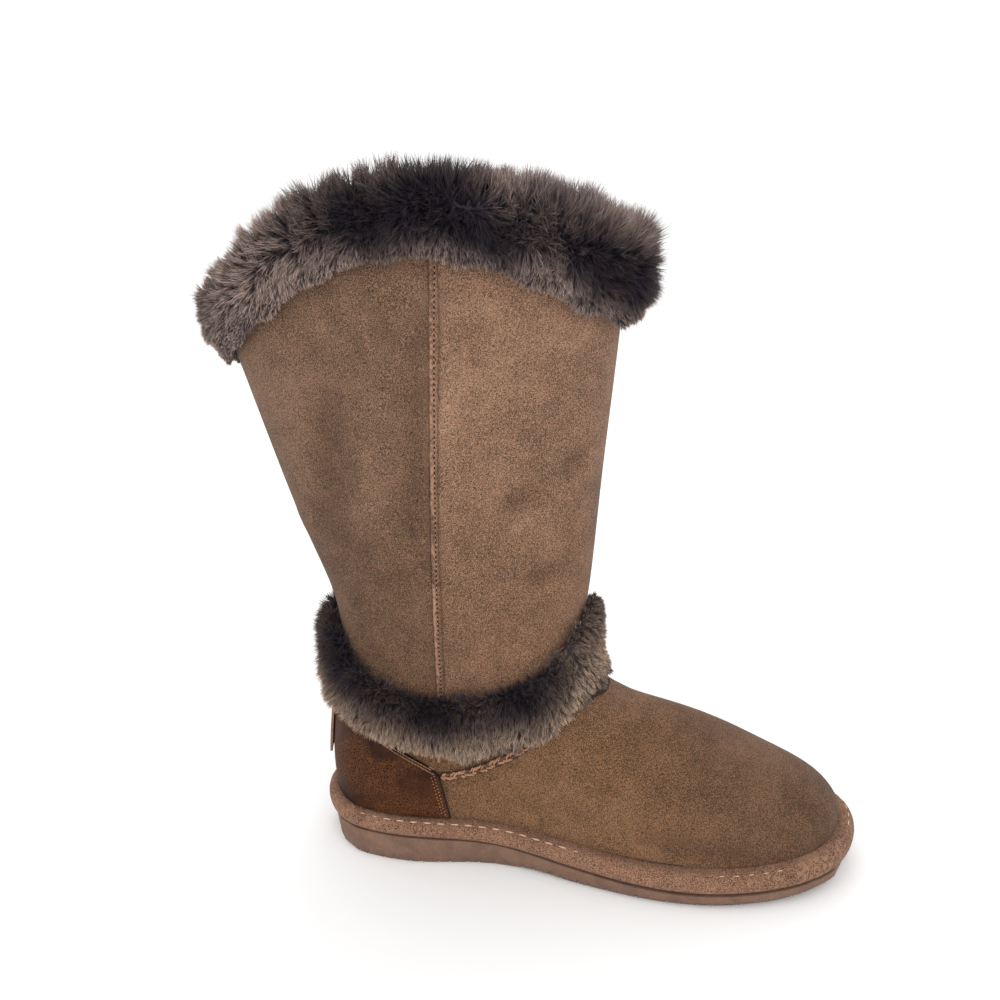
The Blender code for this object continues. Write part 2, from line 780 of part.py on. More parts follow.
class CuffSection:
    """The cuff's pile over both sides of the collar edge: drop below the edge and distance out."""

    rows = table(
        "drop out",
        (1.02, 0.05),
        (1.10, 0.40),
        (0.95, 0.76),
        (0.58, 1.06),
        (0.10, 1.05),
        (-0.42, 0.75),
        (-0.72, 0.15),
        (-0.72, -0.55),
        (-0.30, -1.10),
        (0.40, -1.20),
        (0.95, -0.85),
        (1.10, -0.30),
    )
    edge_drop = -2 * GAP
    seat_drop = 0.5 * CUFF_DROP
    places = 16

    def __init__(self, skin):
        self.skin = skin

    def __call__(self, angle, place):
        turned = math.remainder(angle, 2 * math.pi)
        seats = (
            (self.seat_drop, -WALL - GAP),
            (self.edge_drop, -WALL - GAP),
            (self.edge_drop, GAP),
            (self.seat_drop, GAP),
        )
        pile = len(self.rows["drop"])
        if place >= pile:
            return self.skin.rim(turned, *seats[place - pile])
        drop = self.rows["drop"][place] * CUFF_DROP
        out = {0: GAP, pile - 1: -WALL - GAP}.get(place, self.rows["out"][place] * CUFF_PILE)
        if drop > 0:
            drop *= cuff_stretch(turned)
        return self.skin.rim(turned, drop, out)


class AnkleSection:
    """The ankle band's pile, lying over the seam, the braid and the counter's top edge."""

    rows = table(
        "up out",
        (0.00, 0.0),
        (-0.07, 0.40),
        (0.02, 0.80),
        (0.28, 1.08),
        (0.60, 1.10),
        (0.88, 0.80),
        (1.05, 0.35),
        (1.00, 0.0),
        (0.66, 0.0),
        (0.33, 0.0),
    )
    places = 10

    def __init__(self, skin):
        self.skin = skin

    def __call__(self, angle, place):
        turned = math.remainder(angle, 2 * math.pi)
        share = 0.5 - 0.5 * math.cos(turned)
        low = float(smooth(ANKLE_FUR, "low", share)) * INSTEP_HEIGHT
        high = float(smooth(ANKLE_FUR, "high", share)) * INSTEP_HEIGHT
        height = low + (high - low) * self.rows["up"][place]
        level = self.skin.level_at_height(turned, height)
        out = OVERLAY_SEAT + OVERLAY + BRAID_CLEARANCE + self.rows["out"][place] * ANKLE_PILE
        return self.skin.at(level, turned, out)


def clear_scene():
    for old in list(bpy.data.objects):
        bpy.data.objects.remove(old, do_unlink=True)


def main():
    clear_scene()
    suede = material("suede", (0.19, 0.115, 0.075), 0.95)
    wrap = material("wrapped_suede", (0.16, 0.10, 0.07), 0.95)
    rubber = material("outsole_rubber", (0.21, 0.13, 0.09), 0.80)
    leather = material("counter_leather", (0.07, 0.03, 0.016), 0.50)
    patch = material("patch_leather", (0.30, 0.21, 0.15), 0.70)
    braid = material("braid", (0.27, 0.15, 0.09), 0.85)
    lining = material("lining", (0.15, 0.10, 0.08), 1.00)
    fur = material("dark_fur", (0.03, 0.022, 0.022), 1.00)

    skin = Skin()
    make_outsole(rubber)
    make_platform_band(wrap)
    make_insole(lining)
    make_upper(skin, suede)
    make_heel_counter(skin, leather)
    make_heel_patch(skin, patch)
    make_seam(skin, -1, "seam_strip_outer", suede)
    make_seam(skin, 1, "seam_strip_inner", suede)
    make_braid(skin, braid)
    around = ring_angles(AROUND)
    fur_ring("collar_fur", CuffSection(skin), (1, 2, 3, 4, 5), LOCK_LENGTH, around, fur)
    fur_ring("ankle_fur", AnkleSection(skin), (1, 2, 3, 4), LOCK_LENGTH, around, fur)


main()
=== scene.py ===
"""Looks of a right winter boot: brown suede, a leather heel counter, a braid and two bands of dark fur.

Metres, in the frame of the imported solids: +X to the toe, +Z up, the outer side of the foot towards -Y.
"""

import math

import bmesh
import bpy
import numpy as np
from bpy.props import FloatProperty, FloatVectorProperty, IntProperty, PointerProperty
from mathutils import Matrix, Vector
from mathutils.bvhtree import BVHTree


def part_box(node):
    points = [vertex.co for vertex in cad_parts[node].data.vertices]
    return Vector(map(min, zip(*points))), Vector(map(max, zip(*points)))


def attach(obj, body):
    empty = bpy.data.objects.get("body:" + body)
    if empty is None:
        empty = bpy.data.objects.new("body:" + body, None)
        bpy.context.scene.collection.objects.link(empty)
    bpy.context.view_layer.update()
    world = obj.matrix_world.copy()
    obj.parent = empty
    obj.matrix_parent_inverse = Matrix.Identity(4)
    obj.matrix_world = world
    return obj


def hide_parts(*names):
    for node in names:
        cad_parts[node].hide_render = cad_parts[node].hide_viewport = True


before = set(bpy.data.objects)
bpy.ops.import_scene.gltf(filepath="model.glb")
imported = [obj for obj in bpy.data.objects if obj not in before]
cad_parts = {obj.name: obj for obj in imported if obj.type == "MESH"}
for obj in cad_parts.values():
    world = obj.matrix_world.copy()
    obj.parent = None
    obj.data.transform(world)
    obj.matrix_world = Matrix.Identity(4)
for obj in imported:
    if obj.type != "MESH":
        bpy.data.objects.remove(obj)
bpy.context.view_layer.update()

bl_info = {
    "name": "Winter Boot",
    "version": (1, 0, 0),
    "blender": (4, 5, 0),
    "location": "View3D > Sidebar > Boot",
    "description": "Builds the looks of a fur trimmed suede boot around its solids",
    "category": "Object",
}


def linear(red, green, blue):
    """A colour on the usual 0 to 255 scale as Blender's own linear one."""
    return tuple(((part / 255 + 0.055) / 1.055) ** 2.4 for part in (red, green, blue))


def colour_property(name, description, *parts):
    return FloatVectorProperty(
        name=name, description=description, subtype="COLOR", size=3, min=0, max=1, default=linear(*parts)
    )


def length_property(name, description, size):
    return FloatProperty(
        name=name, description=description, subtype="DISTANCE", unit="LENGTH", precision=4, default=size
    )


class BootColours(bpy.types.PropertyGroup):
    """Colours of the boot's finishes."""

    suede_light: colour_property("Suede", "Light side of the suede's nap", 158, 122, 99)
    suede_dark: colour_property("Suede shade", "Dark side of the suede's nap", 80, 61, 47)
    wrap_light: colour_property("Wrapped suede", "Light side of the suede on the platform", 158, 118, 95)
    wrap_dark: colour_property("Wrapped suede shade", "Dark side of the suede on the platform", 70, 48, 37)
    worn: colour_property("Worn nap", "Suede where it is rubbed", 166, 130, 104)
    leather: colour_property("Counter leather", "Smooth leather of the heel counter", 47, 24, 12)
    leather_vein: colour_property("Counter veins", "Fine creases of the counter's leather", 106, 66, 38)
    patch: colour_property("Patch leather", "Face of the bare heel patch", 70, 52, 42)
    raw_edge: colour_property("Raw edge", "Cut edge of the leather and suede", 158, 120, 98)
    rubber: colour_property("Outsole rubber", "Rubber wedge", 116, 88, 72)
    braid: colour_property("Braid", "Strands of the flat braid", 168, 126, 98)
    thread: colour_property("Pale thread", "Stitches on the platform and the counter", 206, 180, 150)
    # Painted shade: the dark of the needle holes and of the slits in the tread
    hole: colour_property("Stitch hole", "Needle holes and dark thread", 34, 18, 11)
    lining: colour_property("Lining", "Fleece inside the boot", 92, 70, 58)
    fur_root: colour_property("Fur roots", "Depth of the pile", 32, 26, 39)
    fur_tip: colour_property("Fur tips", "Ends of the cuff's pile", 218, 192, 178)
    ankle_tip: colour_property("Ankle fur tips", "Ends of the ankle band's pile", 214, 184, 158)
    floor: colour_property("Floor", "Studio floor", 250, 250, 250)


class BootSizes(bpy.types.PropertyGroup):
    """Sizes of the boot's details."""

    fold_depth: FloatProperty(
        name="Folds", description="Depth of the folds, as drawn at 1", min=0, max=2, default=1.3
    )
    stitch_length: length_property("Stitch", "Length of a stitch on the platform", 0.0043)
    stitch_pitch: length_property("Stitch pitch", "From stitch to stitch on the platform", 0.0071)
    thread_width: length_property("Thread", "Width of the pale thread", 0.00065)
    seam_pitch: length_property("Seam pitch", "From hole to hole in the side seam", 0.0024)
    cuff_pile: length_property("Cuff pile", "Length of the hairs of the cuff", 0.0100)
    ankle_pile: length_property("Ankle pile", "Length of the hairs of the ankle band", 0.0068)
    hair_width: length_property("Hair width", "Width of a hair at its root", 0.00037)
    hairs: IntProperty(
        name="Hairs", description="Hairs in each piece of the pile", min=1000, max=66000, default=52000
    )


# Folds of the shaft and vamp as seen from the side: x and z of three points that each runs through, its
# width, its depth inwards (outwards where it is negative) and its side of the foot, -1 outer and 1 inner
FOLDS = (
    (0.112, 0.219, 0.104, 0.213, 0.097, 0.208, 0.0036, 0.0026, -1),
    (0.092, 0.203, 0.081, 0.197, 0.072, 0.192, 0.0050, 0.0017, -1),
    (0.099, 0.163, 0.090, 0.159, 0.081, 0.156, 0.0045, 0.0016, -1),
    (0.037, 0.270, 0.034, 0.221, 0.030, 0.165, 0.0070, 0.0011, -1),
    (-0.004, 0.255, -0.011, 0.209, -0.012, 0.165, 0.0110, 0.0014, -1),
    (0.001, 0.155, 0.023, 0.166, 0.040, 0.171, 0.0030, -0.0007, -1),
    (0.134, 0.033, 0.160, 0.027, 0.204, 0.023, 0.0055, 0.0010, -1),
    (0.112, 0.218, 0.098, 0.206, 0.082, 0.200, 0.0060, 0.0015, 1),
    (0.000, 0.196, 0.020, 0.186, 0.040, 0.190, 0.0080, 0.0014, 1),
    (0.102, 0.150, 0.086, 0.142, 0.070, 0.140, 0.0060, 0.0013, 1),
    (0.150, 0.034, 0.176, 0.030, 0.200, 0.032, 0.0060, 0.0010, 1),
)

# Light and dark spots in the tone of the cuff on its outer side, partly tufts of the fur and partly painted
# highlight and shade: x, z, reach, and how far the tone goes up or down
TUFTS_AND_PAINTED_LIGHT = (
    (0.015, 0.320, 0.010, -0.30),
    (0.026, 0.316, 0.011, -0.28),
    (0.046, 0.326, 0.014, -0.34),
    (0.066, 0.320, 0.010, -0.30),
    (0.077, 0.312, 0.010, -0.34),
    (0.112, 0.302, 0.011, -0.30),
    (0.125, 0.297, 0.012, -0.34),
    (0.134, 0.288, 0.011, -0.28),
    (-0.044, 0.279, 0.008, -0.45),
    (-0.045, 0.292, 0.015, 0.34),
    (-0.027, 0.301, 0.013, 0.30),
    (-0.010, 0.307, 0.012, 0.28),
    (0.008, 0.308, 0.009, 0.20),
    (0.051, 0.308, 0.008, 0.24),
    (0.078, 0.328, 0.010, 0.42),
    (0.095, 0.302, 0.009, 0.36),
    (0.103, 0.296, 0.008, 0.28),
    (0.124, 0.316, 0.012, 0.42),
    (0.133, 0.305, 0.010, 0.30),
    (0.030, 0.336, 0.014, 0.10),
    (-0.030, 0.322, 0.014, 0.14),
)

# Where the counter's top edge meets its front edge
CORNER_X = 0.0340

# Middle and half size of the shaft in plan
SHAFT_X = 0.045
SHAFT_HALF = (0.10, 0.04)

# Degrees that an edge has to turn to stay sharp: on leather and seams, on the upper, on wrapped suede and
# on soft pieces, where none does
LEATHER_EDGE, UPPER_EDGE, WRAP_EDGE, NO_EDGE = 50, 55, 75, 179

# Stitches and holes: length, width, height and how far they lie over the surface
SEAM_HOLE = (0.0013, 0.0008, 0.0001, 0.00005)
SEAM_THREAD = (0.0011, 0.0005, 0.0002, 0.00005)
TOP_STITCH = (0.0018, 0.00042, 0.00025, 0.0001)
FRONT_DOT = (0.0007, 0.0006, 0.0003, 0.00005)
PIPING = (0.0032, 0.0009, 0.0003, 0.0)

# From one to the next of the stitches, dots and strands
TOP_PITCH, DOT_PITCH, PIPING_PITCH, STRAND_PITCH = 0.0017, 0.0019, 0.0020, 0.00075

# Height and width of the raised edge of a side seam
LAP = 0.0009

# Length, width and height of a strand of the braid
STRAND = (0.0031, 0.0012, 0.0008)

# How far beside the boot its surfaces are looked at from
BESIDE = 0.2

# Felt that has the upper closer in front of it than this grows no hair
HIDDEN = 0.0035

# Speckle and patches of the upper's suede
SUEDE_GRAIN = (1.1, 0.75)

# Camera of the photograph: place, turn to the side, down and about its axis, in radians, focal length
# in pixels of a 1000 pixel frame
CAMERA_PLACE = (0.162358, -0.456098, 0.327678)
CAMERA_TURN = (-0.212301, 0.292855, 0.028102)
CAMERA_FOCUS = 989.514


def cad(node):
    """The mesh of a CAD node, only to be read."""
    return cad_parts[node].data


def merged(node):
    """A bmesh of a CAD node, its loose triangles joined into one skin of mostly quads."""
    bm = bmesh.new()
    bm.from_mesh(cad(node))
    bmesh.ops.remove_doubles(bm, verts=bm.verts, dist=1e-6)
    bmesh.ops.join_triangles(
        bm, faces=bm.faces, angle_face_threshold=math.radians(50), angle_shape_threshold=math.radians(70)
    )
    return bm


def tree_of(mesh):
    """A search tree over a mesh."""
    bm = bmesh.new()
    bm.from_mesh(mesh)
    tree = BVHTree.FromBMesh(bm)
    bm.free()
    return tree


def regions(bm, angle):
    """Groups of faces parted by edges that turn more than an angle in degrees, the largest first."""
    left = dict.fromkeys(bm.faces)
    found = []
    while left:
        group = [left.popitem()[0]]
        for face in group:
            for edge in face.edges:
                if edge.calc_face_angle(0) > math.radians(angle):
                    continue
                for other in edge.link_faces:
                    if other in left:
                        del left[other]
                        group.append(other)
        found.append(group)
    return sorted(found, key=lambda group: -sum(face.calc_area() for face in group))


def mark_cut_edges(bm):
    """Gives the second finish to all faces but the two broad sides of a piece of leather."""
    broad = {face for group in regions(bm, LEATHER_EDGE)[:2] for face in group}
    for face in bm.faces:
        face.material_index = int(face not in broad)


def add_object(bm, name):
    mesh = bpy.data.meshes.new(name)
    bm.to_mesh(mesh)
    bm.free()
    made = bpy.data.objects.new(name, mesh)
    bpy.context.scene.collection.objects.link(made)
    return made


def bake(piece):
    """Turns a piece's modifiers into its own mesh."""
    bpy.context.view_layer.update()
    solved = piece.evaluated_get(bpy.context.evaluated_depsgraph_get())
    dense = bpy.data.meshes.new_from_object(solved)
    dense.name = piece.name
    piece.modifiers.clear()
    piece.data = dense


def rounded(bm, name, levels, angle=LEATHER_EDGE, crease=1.0):
    """A bmesh as a piece with a smooth skin that keeps its sharp edges."""
    layer = bm.edges.layers.float.new("crease_edge")
    for edge in bm.edges:
        if edge.calc_face_angle(0) > math.radians(angle):
            edge[layer] = crease
    piece = add_object(bm, name)
    smooth = piece.modifiers.new("Smooth", "SUBSURF")
    smooth.levels = smooth.render_levels = levels
    bake(piece)
    piece.data.shade_smooth()
    piece.data.set_sharp_from_angle(angle=math.radians(45))
    return piece


def coordinates(mesh, kind="co"):
    """The points of a mesh as rows, or their outward directions for the kind "normal"."""
    flat = np.empty(len(mesh.vertices) * 3)
    mesh.vertices.foreach_get(kind, flat)
    return flat.reshape(-1, 3)


def set_coordinates(mesh, points):
    mesh.vertices.foreach_set("co", points.ravel())
    mesh.update()


def set_attribute(mesh, name, values):
    """Stores a number or a row of three for each point, in place of what has the name already."""
    if name in mesh.attributes:
        mesh.attributes.remove(mesh.attributes[name])
    kind, field = ("FLOAT", "value") if values.ndim == 1 else ("FLOAT_VECTOR", "vector")
    made = mesh.attributes.new(name, kind, "POINT")
    made.data.foreach_set(field, values.ravel().astype(np.float32))


def smooth_step(low, high, value):
    part = np.clip((value - low) / (high - low), 0, 1)
    return part * part * (3 - 2 * part)


def bell(away, width):
    """1 in the middle and next to nothing two widths away."""
    return np.exp(-((away / width) ** 2))


def fold_amount(points):
    """How far in the folds push each point, in metres, read from the side."""
    total = np.zeros(len(points))
    every = np.arange(len(points))
    part = np.linspace(0, 1, 25)
    for x0, z0, x1, z1, x2, z2, width, depth, side in FOLDS:
        line = np.outer((1 - part) ** 2, (x0, z0)) + np.outer(part**2, (x2, z2))
        line += np.outer(2 * part * (1 - part), (2 * x1 - (x0 + x2) / 2, 2 * z1 - (z0 + z2) / 2))
        gap = points[:, None, (0, 2)] - line[None]
        reach = np.linalg.norm(gap, axis=2)
        near = reach.argmin(axis=1)
        away = reach[every, near]
        turn = np.gradient(line, axis=0)[near]
        offset = gap[every, near]
        below = np.sign(turn[:, 0] * offset[:, 1] - turn[:, 1] * offset[:, 0])
        below = below * np.sign(turn[:, 0]) < 0
        along = part[near]
        fade = smooth_step(0, 0.25, along) * smooth_step(0, 0.25, 1 - along) * 0.8 + 0.2
        on_side = smooth_step(0.002, 0.012, points[:, 1] * side)
        ridge = bell(away - 1.9 * width, width) * np.where(below, 1, 0.35)
        total += depth * fade * on_side * (bell(away, width) - 0.45 * ridge)
    return total * bpy.context.scene.boot_sizes.fold_depth


def fold(piece):
    """Presses the folds into a piece of the upper, both of its faces alike."""
    points = coordinates(piece.data)
    tree = tree_of(cad("upper"))
    outward = np.array([tree.find_nearest(point)[1] for point in points])
    middle = points * (0, 0, 1) + (SHAFT_X, 0, 0)
    outward *= np.where(np.sum(outward * (points - middle), axis=1) < 0, -1.0, 1.0)[:, None]
    pressed = fold_amount(points)
    set_coordinates(piece.data, points - outward * pressed[:, None])
    return pressed


def seam_at(node, heights):
    """Where the middle of a side seam lies along the boot at each height."""
    points = coordinates(cad(node))
    curve = np.polyfit(points[:, 2], points[:, 0], 3)
    return np.polyval(curve, np.clip(heights, points[:, 2].min(), points[:, 2].max()))


def suede_painted_shade(points, pressed):
    """Painted shade of the suede by panel and fold: darker behind the seams, lower down, at the toe and in
    the folds, lighter on the folds' ridges, darker and more olive over the foot.
    """
    heights = points[:, 2]
    seams = [seam_at(node, heights) for node in ("seam_strip_outer", "seam_strip_inner")]
    seam = np.where(points[:, 1] < 0, *seams)
    foot = smooth_step(0.095, 0.070, heights)
    behind = smooth_step(0.0006, -0.0006, points[:, 0] - seam) * (1 - foot)
    low = smooth_step(0.25, 0.11, heights)
    toe = foot * smooth_step(0.10, 0.19, points[:, 0])
    deep = np.clip(pressed / 0.002, -0.5, 1.0)
    tint = np.ones((len(points), 3))
    for share, colour in (
        (behind, (0.72, 0.72, 0.71)),
        (low, (0.87, 0.83, 0.77)),
        (foot, (0.90, 0.86, 0.74)),
        (toe, (0.72, 0.73, 0.80)),
        (deep, (0.70, 0.68, 0.66)),
    ):
        tint *= 1 + share[:, None] * (np.array(colour) - 1)
    return tint


def show(piece, node, slot, *materials):
    """Gives a piece its finish, hangs it on the root body and hides the CAD node that it replaces, where
    there is one.
    """
    for material in materials:
        piece.data.materials.append(material)
    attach(piece, "root")
    if node:
        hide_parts(node)
    return piece


# Materials


class Maker:
    """Adds nodes to a tree and links them."""

    def __init__(self, tree):
        self.tree = tree

    def put(self, node, values):
        """Sets inputs of a node by name or number, or links them where the value is a socket."""
        for name, value in values.items():
            if isinstance(value, bpy.types.NodeSocket):
                self.tree.links.new(value, node.inputs[name])
            else:
                node.inputs[name].default_value = value

    def node(self, kind, values=None, **settings):
        """A new node with its settings and the values of its inputs."""
        made = self.tree.nodes.new(kind)
        for name, value in settings.items():
            setattr(made, name, value)
        self.put(made, values or {})
        return made

    def math(self, operation, first, second, clamp=False):
        made = self.node("ShaderNodeMath", {0: first, 1: second}, operation=operation, use_clamp=clamp)
        return made.outputs[0]

    def add(self, first, second, clamp=False):
        return self.math("ADD", first, second, clamp)

    def times(self, first, second, clamp=False):
        return self.math("MULTIPLY", first, second, clamp)

    def mix(self, amount, first, second, blend="MIX"):
        values = {0: amount, 6: first, 7: second}
        return self.node("ShaderNodeMix", values, data_type="RGBA", blend_type=blend).outputs[2]

    def noise(self, vector, scale, detail=2.0, distortion=0.0, output="Fac"):
        values = {"Vector": vector, "Scale": scale, "Detail": detail, "Distortion": distortion}
        return self.node("ShaderNodeTexNoise", values).outputs[output]

    def range(self, value, low, high, to_low=0.0, to_high=1.0):
        values = dict(enumerate((value, low, high, to_low, to_high)))
        return self.node("ShaderNodeMapRange", values).outputs[0]

    def spread(self, noise, to_low=0.0, to_high=1.0):
        """The part of a noise that it is mostly in, drawn out to a range of its own."""
        return self.range(noise, 0.3, 0.7, to_low, to_high)

    def vector(self, operation, *values, scale=1.0):
        values = {**dict(enumerate(values)), 3: scale}
        return self.node("ShaderNodeVectorMath", values, operation=operation).outputs[0]

    def attribute(self, name, output="Fac"):
        return self.node("ShaderNodeAttribute", attribute_name=name).outputs[output]

    def place(self):
        return self.node("ShaderNodeTexCoord").outputs["Object"]


def start_group(name, inputs, outputs):
    """A shader node group. Its inputs have their first values, where four numbers are a colour."""
    tree = bpy.data.node_groups.new(name, "ShaderNodeTree")
    for label, value in inputs.items():
        kind = "NodeSocketColor" if isinstance(value, tuple) else "NodeSocketFloat"
        tree.interface.new_socket(label, in_out="INPUT", socket_type=kind).default_value = value
    for label in outputs:
        kind = "NodeSocketColor" if label == "Colour" else "NodeSocketFloat"
        tree.interface.new_socket(label, in_out="OUTPUT", socket_type=kind)
    maker = Maker(tree)
    return maker, maker.node("NodeGroupInput").outputs, maker.node("NodeGroupOutput")


def nap_group(name):
    """Suede: a fine speckle of light and dark nap, and broad soft patches."""
    inputs = {"Light": (0.3, 0.2, 0.1, 1), "Dark": (0.1, 0.06, 0.04, 1), "Speckle": 1.0, "Patches": 1.0}
    maker, given, made = start_group(name, inputs, ("Colour", "Height", "Roughness"))
    place = maker.place()
    fine = maker.noise(place, 2300)
    medium = maker.times(maker.noise(place, 900), 0.5)
    clouds = maker.noise(place, 95, 3.0, 0.3)
    broad = maker.noise(place, 24, 3.0, 0.6)
    wide = maker.noise(place, 9, 1.0)
    speckle = maker.add(maker.add(maker.times(fine, 4.8), medium), -2.65)
    patches = maker.add(maker.add(maker.add(broad, maker.times(wide, 0.8)), clouds), -1.4)
    value = maker.times(speckle, given["Speckle"])
    value = maker.add(value, maker.times(patches, given["Patches"]))
    value = maker.add(value, 0.37, clamp=True)
    values = {
        "Colour": maker.mix(value, given["Dark"], given["Light"]),
        "Height": maker.add(fine, medium),
        "Roughness": maker.spread(fine, 0.88, 1.0),
    }
    maker.put(made, values)
    return maker.tree


def hide_group(name):
    """Smooth leather: fine crossing creases, lighter along their veins, over soft clouds."""
    inputs = {"Colour": (0.07, 0.03, 0.02, 1), "Vein": (0.2, 0.1, 0.05, 1), "Creases": 1.0}
    maker, given, made = start_group(name, inputs, ("Colour", "Height", "Roughness"))
    place = maker.place()
    bent = maker.noise(place, 180, output="Color")
    bent = maker.vector("MULTIPLY_ADD", bent, (0.0035, 0.0035, 0.0035), place)
    cells = maker.node("ShaderNodeTexVoronoi", {"Vector": bent, "Scale": 760}, feature="DISTANCE_TO_EDGE")
    fine = maker.noise(place, 900, 3.0, 0.3)
    clouds = maker.noise(place, 38, 4.0, 0.8)
    broad = maker.noise(place, 14)
    vein = maker.range(cells.outputs["Distance"], 0.0, 0.22, 1.0, 0.0)
    vein = maker.times(vein, maker.range(clouds, 0.36, 0.56))
    vein = maker.times(vein, given["Creases"], clamp=True)
    shade = maker.add(maker.spread(broad, 0.7, 1.3), maker.spread(fine, -0.35, 0.35))
    grey = maker.node("ShaderNodeCombineColor", {"Red": shade, "Green": shade, "Blue": shade}).outputs[0]
    base = maker.mix(1.0, given["Colour"], grey, "MULTIPLY")
    values = {
        "Colour": maker.mix(maker.times(vein, 0.75), base, given["Vein"]),
        "Height": maker.add(fine, maker.times(vein, -0.9)),
        "Roughness": maker.range(clouds, 0.35, 0.7, 0.52, 0.66),
    }
    maker.put(made, values)
    return maker.tree


def wear_group(name):
    """Rubbed places: where the mask is high and the nap stands out, the colour turns paler."""
    inputs = {"Colour": (0.2, 0.1, 0.05, 1), "Worn": (0.4, 0.3, 0.2, 1), "Mask": 0.0, "Amount": 1.0}
    maker, given, made = start_group(name, inputs, ("Colour", "Mask"))
    place = maker.place()
    rough = maker.noise(place, 480, 4.0, 0.3)
    patchy = maker.noise(place, 60, 3.0)
    spots = maker.range(maker.add(rough, maker.times(patchy, 0.6)), 0.72, 0.95)
    amount = maker.times(maker.times(spots, given["Mask"]), given["Amount"], clamp=True)
    maker.put(made, {"Colour": maker.mix(amount, given["Colour"], given["Worn"]), "Mask": amount})
    return maker.tree


def pile_group(name):
    """Fur: dark in its depth, with tips as pale as the tone of each hair."""
    inputs = {"Root": (0.01, 0.01, 0.01, 1), "Tip": (0.2, 0.15, 0.12, 1)}
    maker, given, made = start_group(name, inputs, ("Colour", "Roughness"))
    tone = maker.attribute("tone")
    tip = maker.math("POWER", maker.attribute("along"), 1.3)
    amount = maker.times(tip, tone, clamp=True)
    colour = maker.mix(amount, given["Root"], given["Tip"])
    maker.put(made, {"Colour": colour, "Roughness": maker.range(tone, 0.0, 1.0, 0.55, 0.8)})
    return maker.tree


def place_group(maker, name, build, **values):
    """The outputs of a node group, which is built once."""
    group = bpy.data.node_groups.get(name) or build(name)
    return maker.node("ShaderNodeGroup", values, node_tree=group).outputs


def rgba(colour):
    return (*colour, 1.0)


def shaded(colour, amount):
    """A colour made lighter or darker."""
    return [min(part * amount, 1.0) for part in colour]


def start_material(name):
    made = bpy.data.materials.new(name)
    made.use_nodes = True
    return made, Maker(made.node_tree)


def finish(maker, colour, roughness, shine, bump=None):
    """Fills a material's shader. The bump is a height, its strength and its depth."""
    shader = maker.tree.nodes["Principled BSDF"]
    maker.put(shader, {"Base Color": colour, "Roughness": roughness, "Specular IOR Level": shine})
    if bump:
        height, strength, depth = bump
        raised = maker.node("ShaderNodeBump", {"Strength": strength, "Distance": depth, "Height": height})
        maker.put(shader, {"Normal": raised.outputs["Normal"]})
    return shader


def suede_material(name, light, dark, speckle, patches, worn=None, mask=None, amount=1.0, with_painted_shade=False):
    """Suede, with painted shade and hue laid on where asked, or rubbed where a mask painted on it is high."""
    made, maker = start_material(name)
    nap = place_group(
        maker, "suede nap", nap_group, Light=rgba(light), Dark=rgba(dark), Speckle=speckle, Patches=patches
    )
    colour = nap["Colour"]
    if with_painted_shade:
        # Painted shade and hue, read from the points, multiplied into the nap's colour
        colour = maker.mix(1.0, colour, maker.attribute("tint", "Color"), "MULTIPLY")
    if mask:
        mask = maker.attribute(mask)
        rubbed = place_group(
            maker, "edge wear", wear_group, Colour=colour, Worn=rgba(worn), Mask=mask, Amount=amount
        )
        colour = rubbed["Colour"]
    shader = finish(maker, colour, nap["Roughness"], 0.10, (nap["Height"], 0.45, 0.0005))
    maker.put(shader, {"Sheen Weight": 0.06, "Sheen Roughness": 0.6})
    return made


def leather_material(name, colour, vein, creases):
    made, maker = start_material(name)
    hide = place_group(
        maker, "smooth hide", hide_group, Colour=rgba(colour), Vein=rgba(vein), Creases=creases
    )
    finish(maker, hide["Colour"], hide["Roughness"], 0.09, (hide["Height"], 0.5, 0.0003))
    return made


def plain_material(name, colour, roughness, spread=0.25, scale=500.0, depth=0.0002, shine=0.3):
    """A finish of one colour with a fine unevenness of shade and surface, built once."""
    if name in bpy.data.materials:
        return bpy.data.materials[name]
    made, maker = start_material(name)
    grain = maker.noise(maker.place(), scale, 3.0, 0.3)
    dark, light = (rgba(shaded(colour, 1 + part)) for part in (-spread, spread))
    rough = maker.spread(grain, roughness - 0.06, min(roughness + 0.06, 1.0))
    finish(maker, maker.mix(maker.spread(grain), dark, light), rough, shine, (grain, 0.4, depth))
    return made


def lining_material(colours):
    return plain_material("lining", colours.lining, 0.95, 0.3, scale=260.0, depth=0.0012, shine=0.1)


def seam_thread(colours):
    return plain_material("seam thread", colours.raw_edge, 0.8)


def rubber_material(colours):
    made, maker = start_material("outsole rubber")
    place = maker.place()
    smear = maker.noise(place, 70, 4.0, 1.2)
    grain = maker.noise(place, 800)
    value = maker.add(maker.spread(smear, 0.2, 0.8), maker.spread(grain, -0.15, 0.15))
    dark, light = (rgba(shaded(colours.rubber, part)) for part in (0.62, 1.3))
    rough = maker.spread(smear, 0.62, 0.8)
    finish(maker, maker.mix(value, dark, light), rough, 0.35, (grain, 0.25, 0.0002))
    return made


def fur_material(name, root, tip):
    made, maker = start_material(name)
    pile = place_group(maker, "pile", pile_group, Root=rgba(root), Tip=rgba(tip))
    finish(maker, pile["Colour"], pile["Roughness"], 0.25)
    return made


# Stitches


def stitch_piece(name, spots, slot, material):
    """Stitches or holes as one piece. Spots are (middle, direction, outward, length, width, height)."""
    bm = bmesh.new()
    for middle, along, outward, length, width, height in spots:
        along = (along - outward * along.dot(outward)).normalized()
        across = outward.cross(along)
        turn = Matrix((along, across, outward)).transposed().to_4x4()
        size = Matrix.Diagonal((length / 2, width / 2, height, 1.0))
        bmesh.ops.create_uvsphere(
            bm, u_segments=8, v_segments=5, radius=1.0, matrix=Matrix.Translation(middle) @ turn @ size
        )
    piece = add_object(bm, name)
    piece.data.shade_smooth()
    show(piece, None, slot, material)


def run_along(points):
    """How far along a line of points each one lies."""
    return np.concatenate([[0], np.cumsum(np.linalg.norm(np.diff(points, axis=0), axis=1))])


